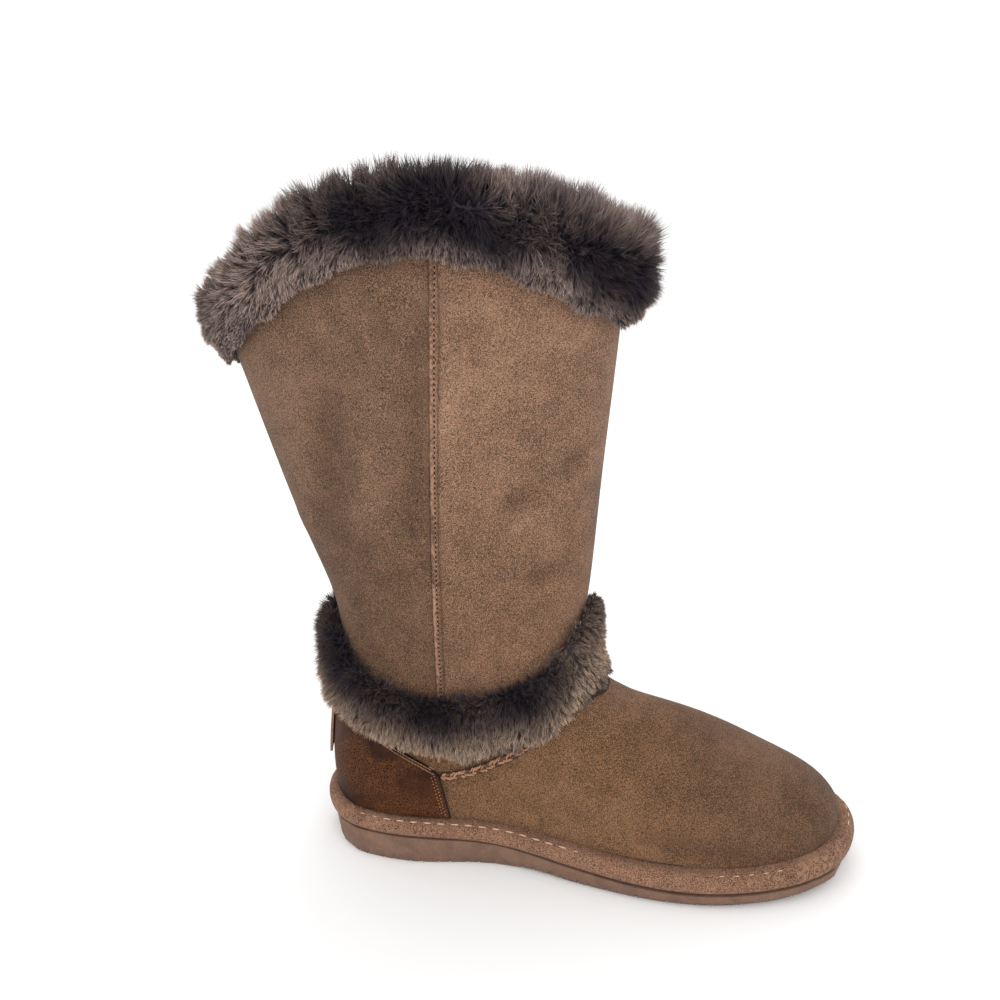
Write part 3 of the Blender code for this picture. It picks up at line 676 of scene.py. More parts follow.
def spaced(points, pitch, start=0.0):
    """Points and directions at even steps along a line of points."""
    points = np.array(points)
    run = run_along(points)

    def at(place):
        return np.array([np.interp(place, run, points[:, axis]) for axis in range(3)])

    found = []
    for place in np.arange(start, run[-1], pitch):
        ahead = at(min(place + 1e-3, run[-1])) - at(max(place - 1e-3, 0))
        found.append((Vector(at(place)), Vector(ahead).normalized()))
    return found


def side_line(tree, line, side, steps=80):
    """A line drawn from the side, as x z points, laid on a surface from the outer or inner side."""
    line = np.array(line, float)
    run = run_along(line)
    laid = []
    for place in np.linspace(0, run[-1], steps):
        x, z = (float(np.interp(place, run, line[:, axis])) for axis in (0, 1))
        hit = tree.ray_cast(Vector((x, side * BESIDE, z)), Vector((0, -side, 0)))[0]
        if hit is not None:
            laid.append(hit)
    return laid


def stitched(tree, points, pitch, kind, start=0.0):
    """Stitches along points on a surface, each lying on it. The kind is length, width, height, lift."""
    *size, lift = kind
    spots = []
    for point, along in spaced(points, pitch, start):
        near, outward = tree.find_nearest(point)[:2]
        spots.append((near + outward * lift, along, outward, *size))
    return spots


def crease_line():
    """The upper's outer edge at the platform, as one closed run of points from the CAD upper."""
    bm = merged("upper")
    low = {face for face in bm.faces if face.normal.z < -0.7 and face.calc_center_median().z < 0.05}
    links = {}
    for edge in bm.edges:
        if sum(face in low for face in edge.link_faces) == 1:
            for vert in edge.verts:
                links.setdefault(vert, []).append(edge.other_vert(vert))
    # Each run starts at its heel end and goes on along the outer side, so that it is always the same
    loops = []
    left = sorted(links, key=lambda vert: tuple(vert.co))
    while left:
        after = [left[0]]
        loop = []
        while after:
            loop.append(min(after, key=lambda vert: vert.co.y))
            left.remove(loop[-1])
            after = [other for other in links[loop[-1]] if other in left]
        loops.append([vert.co.copy() for vert in loop])
    bm.free()
    return max(loops, key=lambda loop: sum((a - b).length for a, b in zip(loop, loop[1:])))


def moved_out(loop, distance):
    """A closed run of points in plan, moved outwards."""
    points = np.array(loop)
    middle = points.mean(axis=0)
    ahead = np.roll(points, -1, axis=0) - np.roll(points, 1, axis=0)
    out = np.stack([ahead[:, 1], -ahead[:, 0], np.zeros(len(points))], -1)
    out /= np.linalg.norm(out, axis=1, keepdims=True)
    if np.sum(out * (points - middle)) < 0:
        out = -out
    return points + out * distance


def smoothed_loop(points, times=2):
    """A closed run of points rounded by cutting its corners."""
    for _ in range(times):
        after = np.roll(points, -1, axis=0)
        points = np.stack([points * 0.75 + after * 0.25, points * 0.25 + after * 0.75], 1).reshape(-1, 3)
    return points


# Fur


def blade(material):
    """One hair, a unit long: a narrow leaf that bends and ends in a point."""
    bm = bmesh.new()
    bmesh.ops.create_grid(bm, x_segments=1, y_segments=2, size=0.5)
    along = bm.verts.layers.float.new("along")
    for vert in bm.verts:
        share = vert.co.y + 0.5
        vert[along] = share
        width = vert.co.x * (1.0 - 0.25 * share)
        vert.co = Vector((width, 0.18 * share * share, share))
    top = [vert for vert in bm.verts if vert[along] > 0.99]
    bmesh.ops.pointmerge(bm, verts=top, merge_co=(0.0, 0.18, 1.0))
    made = add_object(bm, "hair")
    made.data.materials.append(material)
    made.data.shade_smooth()
    return made


def hair_tree():
    """Geometry nodes that plant hairs on a mesh, leaning by its comb and drawn together in tufts."""
    found = bpy.data.node_groups.get("hair planting")
    if found:
        return found
    tree = bpy.data.node_groups.new("hair planting", "GeometryNodeTree")
    sockets = (
        ("Geometry", "INPUT", "Geometry"),
        ("Hair", "INPUT", "Object"),
        ("Density", "INPUT", "Float"),
        ("Seed", "INPUT", "Int"),
        ("Width", "INPUT", "Float"),
        ("Tuft", "INPUT", "Float"),
        ("Clump", "INPUT", "Float"),
        ("Geometry", "OUTPUT", "Geometry"),
    )
    for label, way, kind in sockets:
        tree.interface.new_socket(label, in_out=way, socket_type="NodeSocket" + kind)
    maker = Maker(tree)
    given = maker.node("NodeGroupInput").outputs

    def named(label, kind="FLOAT"):
        made = maker.node("GeometryNodeInputNamedAttribute", {"Name": label}, data_type=kind)
        return made.outputs["Attribute"]

    def random(low, high, seed=0):
        values = {2: low, 3: high, "Seed": seed}
        return maker.node("FunctionNodeRandomValue", values, data_type="FLOAT").outputs[1]

    def towards_cell(scale, amount):
        cell = maker.node("ShaderNodeTexVoronoi", {"Vector": place, "Scale": scale}).outputs["Position"]
        return maker.vector("SCALE", maker.vector("SUBTRACT", cell, place), scale=amount)

    values = {
        "Mesh": given["Geometry"],
        "Density": maker.times(given["Density"], named("planted")),
        "Seed": given["Seed"],
    }
    planted = maker.node("GeometryNodeDistributePointsOnFaces", values)
    place = maker.node("GeometryNodeInputPosition").outputs[0]
    swirl = maker.vector("SUBTRACT", maker.noise(place, 70, output="Color"), (0.5, 0.5, 0.5))
    stray = {0: (-0.22, -0.22, -0.22), 1: (0.22, 0.22, 0.22)}
    lean = named("comb", "FLOAT_VECTOR")
    for part in (
        towards_cell(85, given["Tuft"]),
        towards_cell(330, given["Clump"]),
        maker.vector("SCALE", swirl, scale=1.3),
        maker.node("FunctionNodeRandomValue", stray, data_type="FLOAT_VECTOR").outputs[0],
    ):
        lean = maker.vector("ADD", lean, part)
    lean = maker.vector("NORMALIZE", lean)
    spin = maker.node("ShaderNodeCombineXYZ", {"Z": random(0.0, 2 * math.pi)}).outputs[0]
    spin = maker.node("FunctionNodeEulerToRotation", {"Euler": spin}).outputs[0]
    turn = maker.node("FunctionNodeAlignRotationToVector", {"Rotation": spin, "Vector": lean}, axis="Z")
    length = maker.times(named("length"), random(0.62, 1.12, 7))
    size = maker.node("ShaderNodeCombineXYZ", {"X": given["Width"], "Y": length, "Z": length})
    values = {
        "Points": planted.outputs["Points"],
        "Instance": maker.node("GeometryNodeObjectInfo", {"Object": given["Hair"]}).outputs["Geometry"],
        "Rotation": turn.outputs[0],
        "Scale": size.outputs[0],
    }
    placed = maker.node("GeometryNodeInstanceOnPoints", values).outputs[0]
    tone = maker.times(named("tone"), random(0.25, 1.60, 11))
    stored = maker.node(
        "GeometryNodeStoreNamedAttribute",
        {"Geometry": placed, "Name": "tone", "Value": tone},
        data_type="FLOAT",
        domain="INSTANCE",
    )
    real = maker.node("GeometryNodeRealizeInstances", {"Geometry": stored.outputs[0]})
    maker.node("NodeGroupOutput", {"Geometry": real.outputs[0]})
    return tree


def plant(base, name, **values):
    """Hairs grown on a base, as a piece of their own."""
    piece = bpy.data.objects.new(name, base.data.copy())
    bpy.context.scene.collection.objects.link(piece)
    growth = piece.modifiers.new("Hairs", "NODES")
    growth.node_group = hair_tree()
    for item in growth.node_group.interface.items_tree:
        if item.in_out == "INPUT" and item.name in values:
            growth[item.identifier] = values[item.name]
    bake(piece)
    piece.data.materials.clear()
    return piece


def fur_base(node, name, keep, smoothing):
    """The felt under the pile: the CAD fur with its locks smoothed away, drawn in towards the upper.

    With it come how far each of its points was from the upper, and 1 or 0 for where hairs are planted.
    """
    bm = merged(node)
    axes = {"use_axis_x": True, "use_axis_y": True, "use_axis_z": True}
    for _ in range(smoothing):
        bmesh.ops.smooth_vert(bm, verts=bm.verts, factor=0.5, **axes)
    piece = rounded(bm, name, 1, angle=NO_EDGE)
    points = coordinates(piece.data)
    tree = tree_of(cad("upper"))
    found = [tree.find_nearest(point) for point in points]
    near = np.array([hit[0] for hit in found])
    set_coordinates(piece.data, near + (points - near) * keep)
    planted = []
    for point, normal in zip(coordinates(piece.data), coordinates(piece.data, "normal")):
        hit = tree.ray_cast(Vector(point), Vector(normal), HIDDEN)[0]
        planted.append(1.0 if hit is None else 0.0)
    return piece, np.array([hit[3] for hit in found]), np.array(planted)


def grow_fur(base, node, planted, parts, looks, material, seed, **pull):
    """The hairs of a band of fur, in pieces small enough to hand on, and the felt below them."""
    sizes = bpy.context.scene.boot_sizes
    mesh = base.data
    for label, values in looks.items():
        set_attribute(mesh, label, values)
    hair = blade(material)
    for number, name in enumerate(parts[1]):
        here = planted * (parts[0] == number)
        set_attribute(mesh, "planted", here)
        area = sum(face.area * float(here[list(face.vertices)].mean()) for face in mesh.polygons)
        growth = {"Hair": hair, "Density": sizes.hairs / area, "Seed": seed + number}
        piece = plant(base, name, Width=sizes.hair_width, **growth, **pull)
        show(piece, None, "fur", material)
    bpy.data.objects.remove(hair, do_unlink=True)
    for label in ("comb", "length", "planted"):
        mesh.attributes.remove(mesh.attributes[label])
    set_attribute(mesh, "along", np.full(len(mesh.vertices), 0.25))
    show(base, node, "fur", material)


# Pieces


class BOOT_OT_upper(bpy.types.Operator):
    """Builds the suede upper with its folds and its fleece lining"""

    bl_idname = "boot.upper"
    bl_label = "Upper"

    def execute(self, context):
        colours = context.scene.boot_colours
        bm = merged("upper")
        inner = set(regions(bm, UPPER_EDGE)[1])
        for face in bm.faces:
            face.material_index = int(face in inner)
        piece = rounded(bm, "upper_suede", 2, UPPER_EDGE)
        pressed = fold(piece)
        # Painted shade by panel and fold, with the foot's own olive hue
        set_attribute(piece.data, "tint", suede_painted_shade(coordinates(piece.data), pressed))
        suede = suede_material("suede", colours.suede_light, colours.suede_dark, *SUEDE_GRAIN, with_painted_shade=True)
        show(piece, "upper", "suede", suede, lining_material(colours))
        return {"FINISHED"}


class BOOT_OT_seams(bpy.types.Operator):
    """Builds both side seams: a raised cut edge with a row of needle holes and thread in front of it"""

    bl_idname = "boot.seams"
    bl_label = "Side Seams"

    def execute(self, context):
        colours = context.scene.boot_colours
        sizes = context.scene.boot_sizes
        lapped = suede_material(
            "lapped suede",
            colours.suede_light,
            colours.suede_dark,
            *SUEDE_GRAIN,
            worn=colours.raw_edge,
            mask="lap",
            amount=1.3,
            with_painted_shade=True,
        )
        # Dark marks on the surface for the needle holes: painted shade of the holes
        hole = plain_material("needle hole", colours.hole, 0.9)
        upper = tree_of(cad("upper"))
        for node, side in (("seam_strip_outer", -1), ("seam_strip_inner", 1)):
            bm = merged(node)
            bmesh.ops.subdivide_edges(bm, edges=bm.edges, cuts=7, use_grid_fill=True)
            piece = rounded(bm, node + "_lap", 0)
            points = coordinates(piece.data)
            pressed = fold_amount(points)
            behind = seam_at(node, points[:, 2]) - points[:, 0]
            wave = 0.00015 * np.sin(points[:, 2] * 310) + 0.00012 * np.sin(points[:, 2] * 830)
            lap = bell(behind - LAP + wave, LAP)
            outward = outward_from(upper, points, side)
            facing = np.sum(coordinates(piece.data, "normal") * outward, axis=1) > 0.3
            sunk = 0.0006 * smooth_step(0.0012, 0.0021, np.abs(behind)) + pressed
            raised = np.where(facing, lap * LAP - 0.0007, 0.0) - sunk
            set_coordinates(piece.data, points + outward * raised[:, None])
            set_attribute(piece.data, "lap", lap)
            # Painted shade by panel and fold, with the foot's own olive hue
            set_attribute(piece.data, "tint", suede_painted_shade(points, pressed))
            show(piece, node, "suede", lapped)
            tree = tree_of(piece.data)
            low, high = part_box(node)
            heights = np.linspace(low.z + 0.003, high.z - 0.002, 90)
            line = np.column_stack([seam_at(node, heights) + 0.0004, heights])
            path = side_line(tree, line, side, 160)
            pitch = sizes.seam_pitch
            holes = stitched(tree, path, pitch, SEAM_HOLE)
            stitch_piece(node + "_holes", holes, "suede", hole)
            threads = stitched(tree, path, pitch, SEAM_THREAD, start=pitch / 2)
            stitch_piece(node + "_thread", threads, "suede", seam_thread(colours))
        return {"FINISHED"}


def outward_from(tree, points, side):
    """The directions out of a surface beside each point, on the outer side for -1 and the inner for 1."""
    found = np.array([tree.find_nearest(Vector(point))[1] for point in points])
    return found * np.where(found[:, 1:2] * side > 0, 1.0, -1.0)


class BOOT_OT_counter(bpy.types.Operator):
    """Builds the leather heel counter with its two rows of stitches along each free edge"""

    bl_idname = "boot.counter"
    bl_label = "Heel Counter"

    def execute(self, context):
        colours = context.scene.boot_colours
        bm = merged("heel_counter")
        mark_cut_edges(bm)
        piece = rounded(bm, "counter_leather", 2)
        leather = leather_material("counter leather", colours.leather, colours.leather_vein, 1.0)
        # The cut edges and the piping, half as dark as the leather: painted shade along the counter's edges
        edge = plain_material("dark leather edge", shaded(colours.leather, 0.5), 0.7)
        show(piece, "heel_counter", "counter_leather", leather, edge)
        tree = tree_of(piece.data)
        points = coordinates(piece.data)
        spots, dots, piping = [], [], []
        for side in (-1, 1):
            face = points[points[:, 1] * side > 0.005]
            corner = face[face[:, 0] > CORNER_X, 2].max()
            xs = np.linspace(0.0, CORNER_X, 60)
            tops = smooth_edge(face, 0, xs)
            for drop in (0.0005, 0.0019):
                path = side_line(tree, np.column_stack([xs - drop * 0.4, tops - drop]), side)
                spots += stitched(tree, path, TOP_PITCH, TOP_STITCH)
            zs = np.linspace(face[:, 2].min() + 0.002, corner - 0.001, 40)
            fronts = smooth_edge(face, 2, zs)
            path = side_line(tree, np.column_stack([fronts - 0.0006, zs]), side)
            piping += stitched(tree, path, PIPING_PITCH, PIPING)
            for drop, start in ((0.0026, 0.0), (0.0042, 0.0009)):
                path = side_line(tree, np.column_stack([fronts - drop, zs]), side)
                dots += stitched(tree, path, DOT_PITCH, FRONT_DOT, start)
        stitch_piece("counter_stitches", spots, "braid", seam_thread(colours))
        stitch_piece("counter_dots", dots, "braid", seam_thread(colours))
        stitch_piece("counter_piping", piping, "counter_leather", edge)
        return {"FINISHED"}


def smooth_edge(points, axis, places):
    """A face's outermost line from the side: its top heights over x (0) or its front x over heights (2)."""
    other = 2 - axis
    found = [points[np.abs(points[:, axis] - place) < 0.0022, other].max() for place in places]
    return np.polyval(np.polyfit(places, found, 3), places)


class BOOT_OT_patch(bpy.types.Operator):
    """Builds the small bare patch on the heel"""

    bl_idname = "boot.patch"
    bl_label = "Heel Patch"

    def execute(self, context):
        colours = context.scene.boot_colours
        bm = merged("heel_patch")
        mark_cut_edges(bm)
        piece = rounded(bm, "heel_patch_leather", 2, crease=0.8)
        leather = leather_material("patch leather", colours.patch, colours.raw_edge, 0.4)
        edge = plain_material("patch edge", shaded(colours.raw_edge, 0.85), 0.8)
        show(piece, "heel_patch", "patch_leather", leather, edge)
        return {"FINISHED"}


class BOOT_OT_braid(bpy.types.Operator):
    """Builds the flat braid from leaning strands laid in a herringbone"""

    bl_idname = "boot.braid"
    bl_label = "Braid"

    def execute(self, context):
        colours = context.scene.boot_colours
        core = rounded(merged("braid"), "braid_core", 1, NO_EDGE)
        tree = tree_of(cad("upper"))
        points = coordinates(core.data)
        middles = [points[np.hypot(*(points - point)[:, :2].T) < 0.004, 2].mean() for point in points]
        points[:, 2] += (np.array(middles) - points[:, 2]) * 0.45
        set_coordinates(core.data, np.array([slimmed(tree, point) for point in points]))
        show(core, "braid", "braid", plain_material("braid shade", shaded(colours.braid, 0.10), 0.9))
        points = coordinates(cad("braid"))
        pale, deep = [], []
        for side in (-1, 1):
            here = points[points[:, 1] * side > 0]
            xs = np.linspace(here[:, 0].min() + 0.002, here[:, 0].max() - 0.012, 40)
            line = [(x, here[np.abs(here[:, 0] - x) < 0.0045, 2].mean()) for x in xs]
            for number, (point, along) in enumerate(spaced(side_line(tree, line, side), STRAND_PITCH)):
                near, outward = tree.find_nearest(point)[:2]
                if outward.y * side < 0:
                    outward = -outward
                across = outward.cross(along).normalized()
                # The strands lean out to both sides in turn, no two quite alike
                row = 1 if number % 2 else -1
                sway = math.sin(number * 1.9)
                lean = (along * (0.80 + 0.18 * sway) + across * row * 0.62).normalized()
                lift = 0.0016 + 0.0003 * math.sin(number * 2.3)
                middle = near + across * row * (0.0010 + 0.0002 * sway) + outward * lift
                length = STRAND[0] + 0.0006 * math.sin(number * 3.1)
                strand = (middle + Vector((0, 0, 0.0003)), lean, outward, length, *STRAND[1:])
                (deep if math.sin(number * 2.7) > 0.60 else pale).append(strand)
        braid = plain_material("braid strands", colours.braid, 0.8, 0.45, 1100.0, 0.0004)
        stitch_piece("braid_strands", pale, "braid", braid)
        shade = plain_material("braid strand shade", shaded(colours.braid, 0.34), 0.85, 0.45, 1100.0)
        stitch_piece("braid_strands_shade", deep, "braid", shade)
        return {"FINISHED"}


def slimmed(tree, point):
    """A point of the braid's core, drawn in towards the upper, most of all under the ankle fur in front."""
    near = np.array(tree.find_nearest(Vector(point))[0])
    hidden = float(smooth_step(0.062, 0.080, point[0]))
    return near + (point - near) * (0.60 - 0.35 * hidden)


class BOOT_OT_platform(bpy.types.Operator):
    """Builds the suede-wrapped platform and the stitches on its upper edge"""

    bl_idname = "boot.platform"
    bl_label = "Wrapped Platform"

    def execute(self, context):
        colours = context.scene.boot_colours
        sizes = context.scene.boot_sizes
        piece = rounded(merged("platform_band"), "platform_wrap", 2, WRAP_EDGE)
        points = coordinates(piece.data)
        toe = smooth_step(0.150, 0.215, points[:, 0])
        heel = 1 - smooth_step(-0.02, 0.03, points[:, 0])
        aside = coordinates(piece.data, "normal")[:, 2] < 0.3
        # Rubbed a little all round, more at the heel, and most on the side of the toe
        rubbed = toe * (0.55 + 0.45 * aside) + 0.45 * heel + 0.25
        set_attribute(piece.data, "rubbed", np.clip(rubbed, 0, 1))
        wrap = suede_material(
            "wrapped suede", colours.wrap_light, colours.wrap_dark, 1.05, 0.5, colours.worn, "rubbed", 0.5
        )
        show(piece, "platform_band", "wrapped_suede", wrap)
        tree = tree_of(piece.data)
        loop = smoothed_loop(moved_out(crease_line(), 0.0050))
        path = []
        for x, y, z in np.vstack([loop, loop[:1]]):
            hit = tree.ray_cast(Vector((x, y, z + 0.02)), Vector((0, 0, -1)))[0]
            if hit is not None:
                path.append(hit)
        kind = (sizes.stitch_length, sizes.thread_width, 0.00035, 0.0001)
        spots = []
        for middle, along, outward, *size in stitched(tree, path, sizes.stitch_pitch, kind):
            share = shown(middle)
            if share:
                spots.append((middle, along, outward, *(part * share for part in size)))
        thread = plain_material("pale thread", colours.thread, 0.7, 0.3, 1500.0)
        stitch_piece("platform_stitches", spots, "wrapped_suede", thread)
        return {"FINISHED"}


def shown(point):
    """How much of a platform stitch lies on the nap: on the outer side many have sunk into it."""
    if point.y > 0 or 0.006 < point.x < 0.100:
        return 1.0
    if -0.010 < point.x < 0.108 or 0.172 < point.x < 0.205:
        return 0.6
    return 0.0


class BOOT_OT_outsole(bpy.types.Operator):
    """Builds the rubber outsole with softened edges"""

    bl_idname = "boot.outsole"
    bl_label = "Outsole"

    def execute(self, context):
        bm = merged("outsole")
        low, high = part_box("outsole")
        for face in bm.faces:
            xs = [vert.co.x for vert in face.verts]
            narrow = max(xs) - min(xs) < 0.0009 and low.x + 0.015 < min(xs) < high.x - 0.02
            steep = face.normal.z < -0.1 and abs(face.normal.x) > 0.5 and abs(face.normal.y) < 0.3
            face.material_index = int(narrow and steep)
        # Dark pieces of painted shadow for the ends of the tread's slits
        slit_shadow_spots = slit_dirt(bm)
        piece = add_object(bm, "outsole_rubber")
        soft = piece.modifiers.new("Soft edges", "BEVEL")
        soft.width = 0.0003
        soft.segments = 2
        soft.limit_method = "ANGLE"
        soft.angle_limit = math.radians(35)
        bake(piece)
        piece.data.shade_smooth()
        piece.data.set_sharp_from_angle(angle=math.radians(40))
        colours = context.scene.boot_colours
        shade = plain_material("slit shade", colours.hole, 0.9)
        show(piece, "outsole", "rubber", rubber_material(colours), shade)
        stitch_piece("slit_dirt", slit_shadow_spots, "rubber", shade)
        return {"FINISHED"}


def slit_dirt(bm):
    """Dark pieces of painted shadow in both ends of each slit of the tread, level with the rubber's side."""
    spots = []
    for edge in bm.edges:
        ends = [vert.co for vert in edge.verts]
        marked = [face for face in edge.link_faces if face.material_index]
        if len(marked) == 2 and abs(ends[0].x - ends[1].x) < 1e-5:
            for first, second in (ends, ends[::-1]):
                inwards = (second - first).normalized()
                middle = first + inwards * 0.0017 + Vector((0, 0, -0.0007))
                spots.append((middle, inwards, Vector((0, 0, 1)), 0.0022, 0.0013, 0.0007))
    return spots


class BOOT_OT_insole(bpy.types.Operator):
    """Builds the fleece insole"""

    bl_idname = "boot.insole"
    bl_label = "Insole"

    def execute(self, context):
        piece = rounded(merged("insole"), "insole_fleece", 1, WRAP_EDGE)
        show(piece, "insole", "lining", lining_material(context.scene.boot_colours))
        return {"FINISHED"}


class BOOT_OT_cuff(bpy.types.Operator):
    """Grows the pile of the cuff over the collar"""

    bl_idname = "boot.cuff"
    bl_label = "Cuff Fur"

    def execute(self, context):
        colours = context.scene.boot_colours
        sizes = context.scene.boot_sizes
        base, away, planted = fur_base("collar_fur", "cuff_felt", 0.66, 5)
        points = coordinates(base.data)
        x, y = points[:, 0], points[:, 1]
        rim = collar_rim()
        over = points[:, 2] - rim_height(rim, points)
        inner = inside_of(rim, points)
        down = smooth_step(0.002, -0.012, over)
        angle = np.arctan2(y / SHAFT_HALF[1], (x - SHAFT_X) / SHAFT_HALF[0])
        comb = coordinates(base.data, "normal")
        comb[:, 2] -= 0.95 * down * (1 - 0.4 * inner)
        comb[:, 2] += 0.40 * (1 - down)
        wave = np.sin(angle * 9 + 1.3) + 0.6 * np.sin(angle * 17 + 0.4)
        comb[:, 0] += 0.22 * wave
        comb[:, 0] -= 0.35 * smooth_step(0.02, -0.07, x)
        # Shorter inside, at the lower edge and at the back, longer along the top
        length = sizes.cuff_pile * (0.72 + 0.28 * smooth_step(0.003, 0.011, away)) * np.where(inner, 0.7, 1.0)
        length *= 1 + 0.42 * smooth_step(0.0, 0.010, over) - 0.60 * smooth_step(-0.011, -0.019, over)
        length *= 1 - 0.50 * smooth_step(-0.020, -0.062, x)
        length *= 1 + 0.25 * smooth_step(0.070, 0.100, x) * smooth_step(-0.002, 0.008, over)
        # Paler at the lower edge, at the back and along the top, darker in the middle
        edge = smooth_step(-0.006, -0.020, over)
        back = smooth_step(0.03, -0.06, x)
        top = smooth_step(0.004, 0.012, over)
        middle = bell(over + 0.004, 0.007)
        tone = 0.34 + 0.26 * edge + 0.14 * back + 0.12 * top - 0.14 * middle * (1 - back)
        tone += 0.06 * np.sin(angle * 7 + 2.0) * (y > 0)
        # Tufts of the fur with painted highlight and shade, laid on the outer side only
        for spot_x, spot_z, reach, amount in TUFTS_AND_PAINTED_LIGHT:
            tuft_and_light = bell(np.hypot(x - spot_x, points[:, 2] - spot_z), reach)
            tone += amount * tuft_and_light * smooth_step(0.0, -0.012, y)
        parts = np.digitize(angle, (-math.pi / 3, math.pi / 3))
        parts = (parts, ("cuff_fur_outer", "cuff_fur_front", "cuff_fur_inner"))
        looks = {"comb": comb, "length": length, "tone": np.clip(tone, 0.05, 1)}
        material = fur_material("cuff pile", colours.fur_root, colours.fur_tip)
        grow_fur(base, "collar_fur", planted, parts, looks, material, 21, Tuft=75.0, Clump=260.0)
        return {"FINISHED"}


class BOOT_OT_ankle(bpy.types.Operator):
    """Grows the pile of the ankle band"""

    bl_idname = "boot.ankle"
    bl_label = "Ankle Fur"

    def execute(self, context):
        colours = context.scene.boot_colours
        sizes = context.scene.boot_sizes
        base, away, planted = fur_base("ankle_fur", "ankle_felt", 0.5, 6)
        points = coordinates(base.data)
        x = points[:, 0]
        share = band_share(points)
        comb = coordinates(base.data, "normal") * 0.75
        comb[:, 2] -= 0.9 * smooth_step(0.95, 0.45, share) + 0.1
        comb[:, 0] += 0.25 * smooth_step(0.03, 0.10, x) - 0.2 * smooth_step(0.0, -0.03, x)
        # Shorter at the lower edge, less so in front, and at the very front; longer at the back
        front = smooth_step(0.035, 0.070, x)
        length = sizes.ankle_pile * (0.6 + 0.4 * smooth_step(0.002, 0.009, away))
        length *= 1 - 0.35 * smooth_step(0.30, 0.05, share) * (1 - 0.8 * front)
        length *= 1 - 0.42 * smooth_step(0.085, 0.110, x) + 0.2 * smooth_step(-0.01, -0.03, x)
        # Paler downwards and at one place in front; darker at the front's lower edge, painted shade where the
        # pile curls under and its dark roots show
        tone = 0.13 + 0.76 * smooth_step(0.74, 0.18, share) + 0.08 * np.sin(x * 140)
        tone += 0.40 * bell(np.hypot(x - 0.112, points[:, 2] - 0.122), 0.016)
        tone -= 0.50 * front * smooth_step(0.22, 0.04, share)
        parts = ((points[:, 1] > 0).astype(int), ("ankle_fur_outer", "ankle_fur_inner"))
        looks = {"comb": comb, "length": length, "tone": np.clip(tone, 0.03, 1)}
        material = fur_material("ankle pile", colours.fur_root, colours.ankle_tip)
        grow_fur(base, "ankle_fur", planted, parts, looks, material, 41, Tuft=60.0, Clump=240.0)
        return {"FINISHED"}


def collar_rim():
    """Points of the upper's collar edge, read from the CAD upper."""
    bm = merged("upper")
    rim = [
        vert.co.copy()
        for face in bm.faces
        if face.normal.z > 0.6 and face.calc_center_median().z > 0.25
        for vert in face.verts
    ]
    bm.free()
    return np.array(rim)


def rim_height(rim, points):
    """Height of the collar's edge beside each point."""
    gap = np.linalg.norm(points[:, None, :2] - rim[None, :, :2], axis=2)
    near = np.argsort(gap, axis=1)[:, :4]
    return rim[near, 2].mean(axis=1)


def inside_of(rim, points):
    """True for points over the inside of the collar."""
    low, high = rim.min(axis=0), rim.max(axis=0)
    out = (points - (low + high) / 2) / ((high - low) / 2)
    return np.hypot(out[:, 0], out[:, 1]) < 0.97


def band_share(points):
    """0 at the lower edge of the ankle band and 1 at its upper edge, read around the ankle."""
    middle = points[:, 0].mean()
    turn = np.arctan2(points[:, 1] / SHAFT_HALF[1], (points[:, 0] - middle) / 0.08)
    share = np.zeros(len(points))
    for number, here in enumerate(turn):
        near = np.abs(np.remainder(turn - here + math.pi, 2 * math.pi) - math.pi) < 0.12
        low, high = points[near, 2].min(), points[near, 2].max()
        share[number] = (points[number, 2] - low) / max(high - low, 1e-4)
    return share


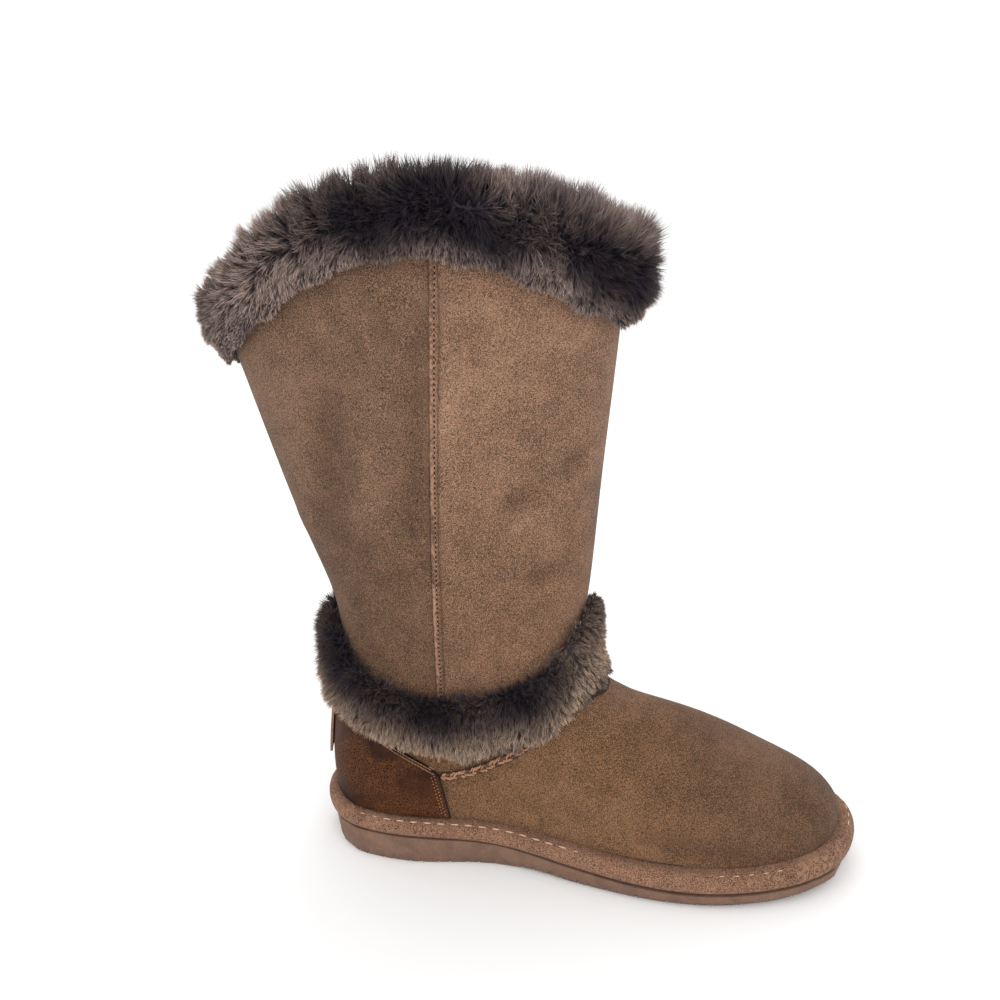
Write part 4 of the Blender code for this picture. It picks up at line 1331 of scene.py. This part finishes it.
class BOOT_OT_stage(bpy.types.Operator):
    """Sets the floor, the soft lights and the photograph's camera"""

    bl_idname = "boot.stage"
    bl_label = "Studio"

    def execute(self, context):
        scene = context.scene
        bm = bmesh.new()
        bmesh.ops.create_grid(bm, x_segments=1, y_segments=1, size=6.0)
        bmesh.ops.translate(bm, verts=bm.verts, vec=(0, 0, -0.0002))
        floor = add_object(bm, "floor")
        made, maker = start_material("studio floor")
        shade = maker.noise(maker.place(), 3)
        colour = maker.mix(shade, rgba(scene.boot_colours.floor), (0.93, 0.93, 0.93, 1))
        finish(maker, colour, 0.9, 0.5)
        floor.data.materials.append(made)
        world = bpy.data.worlds.new("studio")
        world.use_nodes = True
        light = world.node_tree.nodes["Background"].inputs
        light["Color"].default_value = (1, 1, 1, 1)
        light["Strength"].default_value = 1.08
        scene.world = world
        for name, place, size, energy in (
            ("key", (0.55, -1.3, 1.1), 1.2, 9.0),
            ("fill", (-1.2, -0.9, 0.9), 1.4, 2.5),
            ("back", (0.2, 1.4, 1.2), 1.2, 4.0),
        ):
            lamp = bpy.data.lights.new(name, "AREA")
            lamp.size = size
            lamp.energy = energy
            made = bpy.data.objects.new(name, lamp)
            made.location = place
            aim = Vector((0.06, 0, 0.15)) - Vector(place)
            made.rotation_euler = aim.to_track_quat("-Z", "Y").to_euler()
            scene.collection.objects.link(made)
        yaw, pitch, roll = CAMERA_TURN
        ahead = Vector((math.sin(yaw) * math.cos(pitch), math.cos(yaw) * math.cos(pitch), -math.sin(pitch)))
        level = Vector((math.cos(yaw), -math.sin(yaw), 0))
        below = ahead.cross(level)
        right = level * math.cos(roll) + below * math.sin(roll)
        low = below * math.cos(roll) - level * math.sin(roll)
        data = bpy.data.cameras.new("camera")
        data.sensor_width = 36.0
        data.lens = CAMERA_FOCUS * 36.0 / 1000
        data.clip_start = 0.01
        camera = bpy.data.objects.new("camera", data)
        turn = Matrix((right, -low, -ahead)).transposed().to_4x4()
        camera.matrix_world = Matrix.Translation(CAMERA_PLACE) @ turn
        scene.collection.objects.link(camera)
        scene.camera = camera
        scene.view_settings.view_transform = "Standard"
        return {"FINISHED"}


STEPS = (
    BOOT_OT_upper,
    BOOT_OT_seams,
    BOOT_OT_counter,
    BOOT_OT_patch,
    BOOT_OT_braid,
    BOOT_OT_platform,
    BOOT_OT_outsole,
    BOOT_OT_insole,
    BOOT_OT_cuff,
    BOOT_OT_ankle,
    BOOT_OT_stage,
)


class BOOT_PT_panel(bpy.types.Panel):
    """Lists the boot's pieces, colours and sizes"""

    bl_idname = "BOOT_PT_panel"
    bl_label = "Winter Boot"
    bl_space_type = "VIEW_3D"
    bl_region_type = "UI"
    bl_category = "Boot"

    def draw(self, context):
        layout = self.layout
        for step in STEPS:
            layout.operator(step.bl_idname)
        for values in (context.scene.boot_colours, context.scene.boot_sizes):
            for name in values.__annotations__:
                layout.prop(values, name)


CLASSES = (BootColours, BootSizes, *STEPS, BOOT_PT_panel)


def register():
    for made in CLASSES:
        bpy.utils.register_class(made)
    bpy.types.Scene.boot_colours = PointerProperty(type=BootColours)
    bpy.types.Scene.boot_sizes = PointerProperty(type=BootSizes)


def unregister():
    del bpy.types.Scene.boot_sizes
    del bpy.types.Scene.boot_colours
    for made in reversed(CLASSES):
        bpy.utils.unregister_class(made)


def main():
    register()
    for step in STEPS:
        group, name = step.bl_idname.split(".")
        getattr(getattr(bpy.ops, group), name)()


if __name__ == "__main__":
    main()
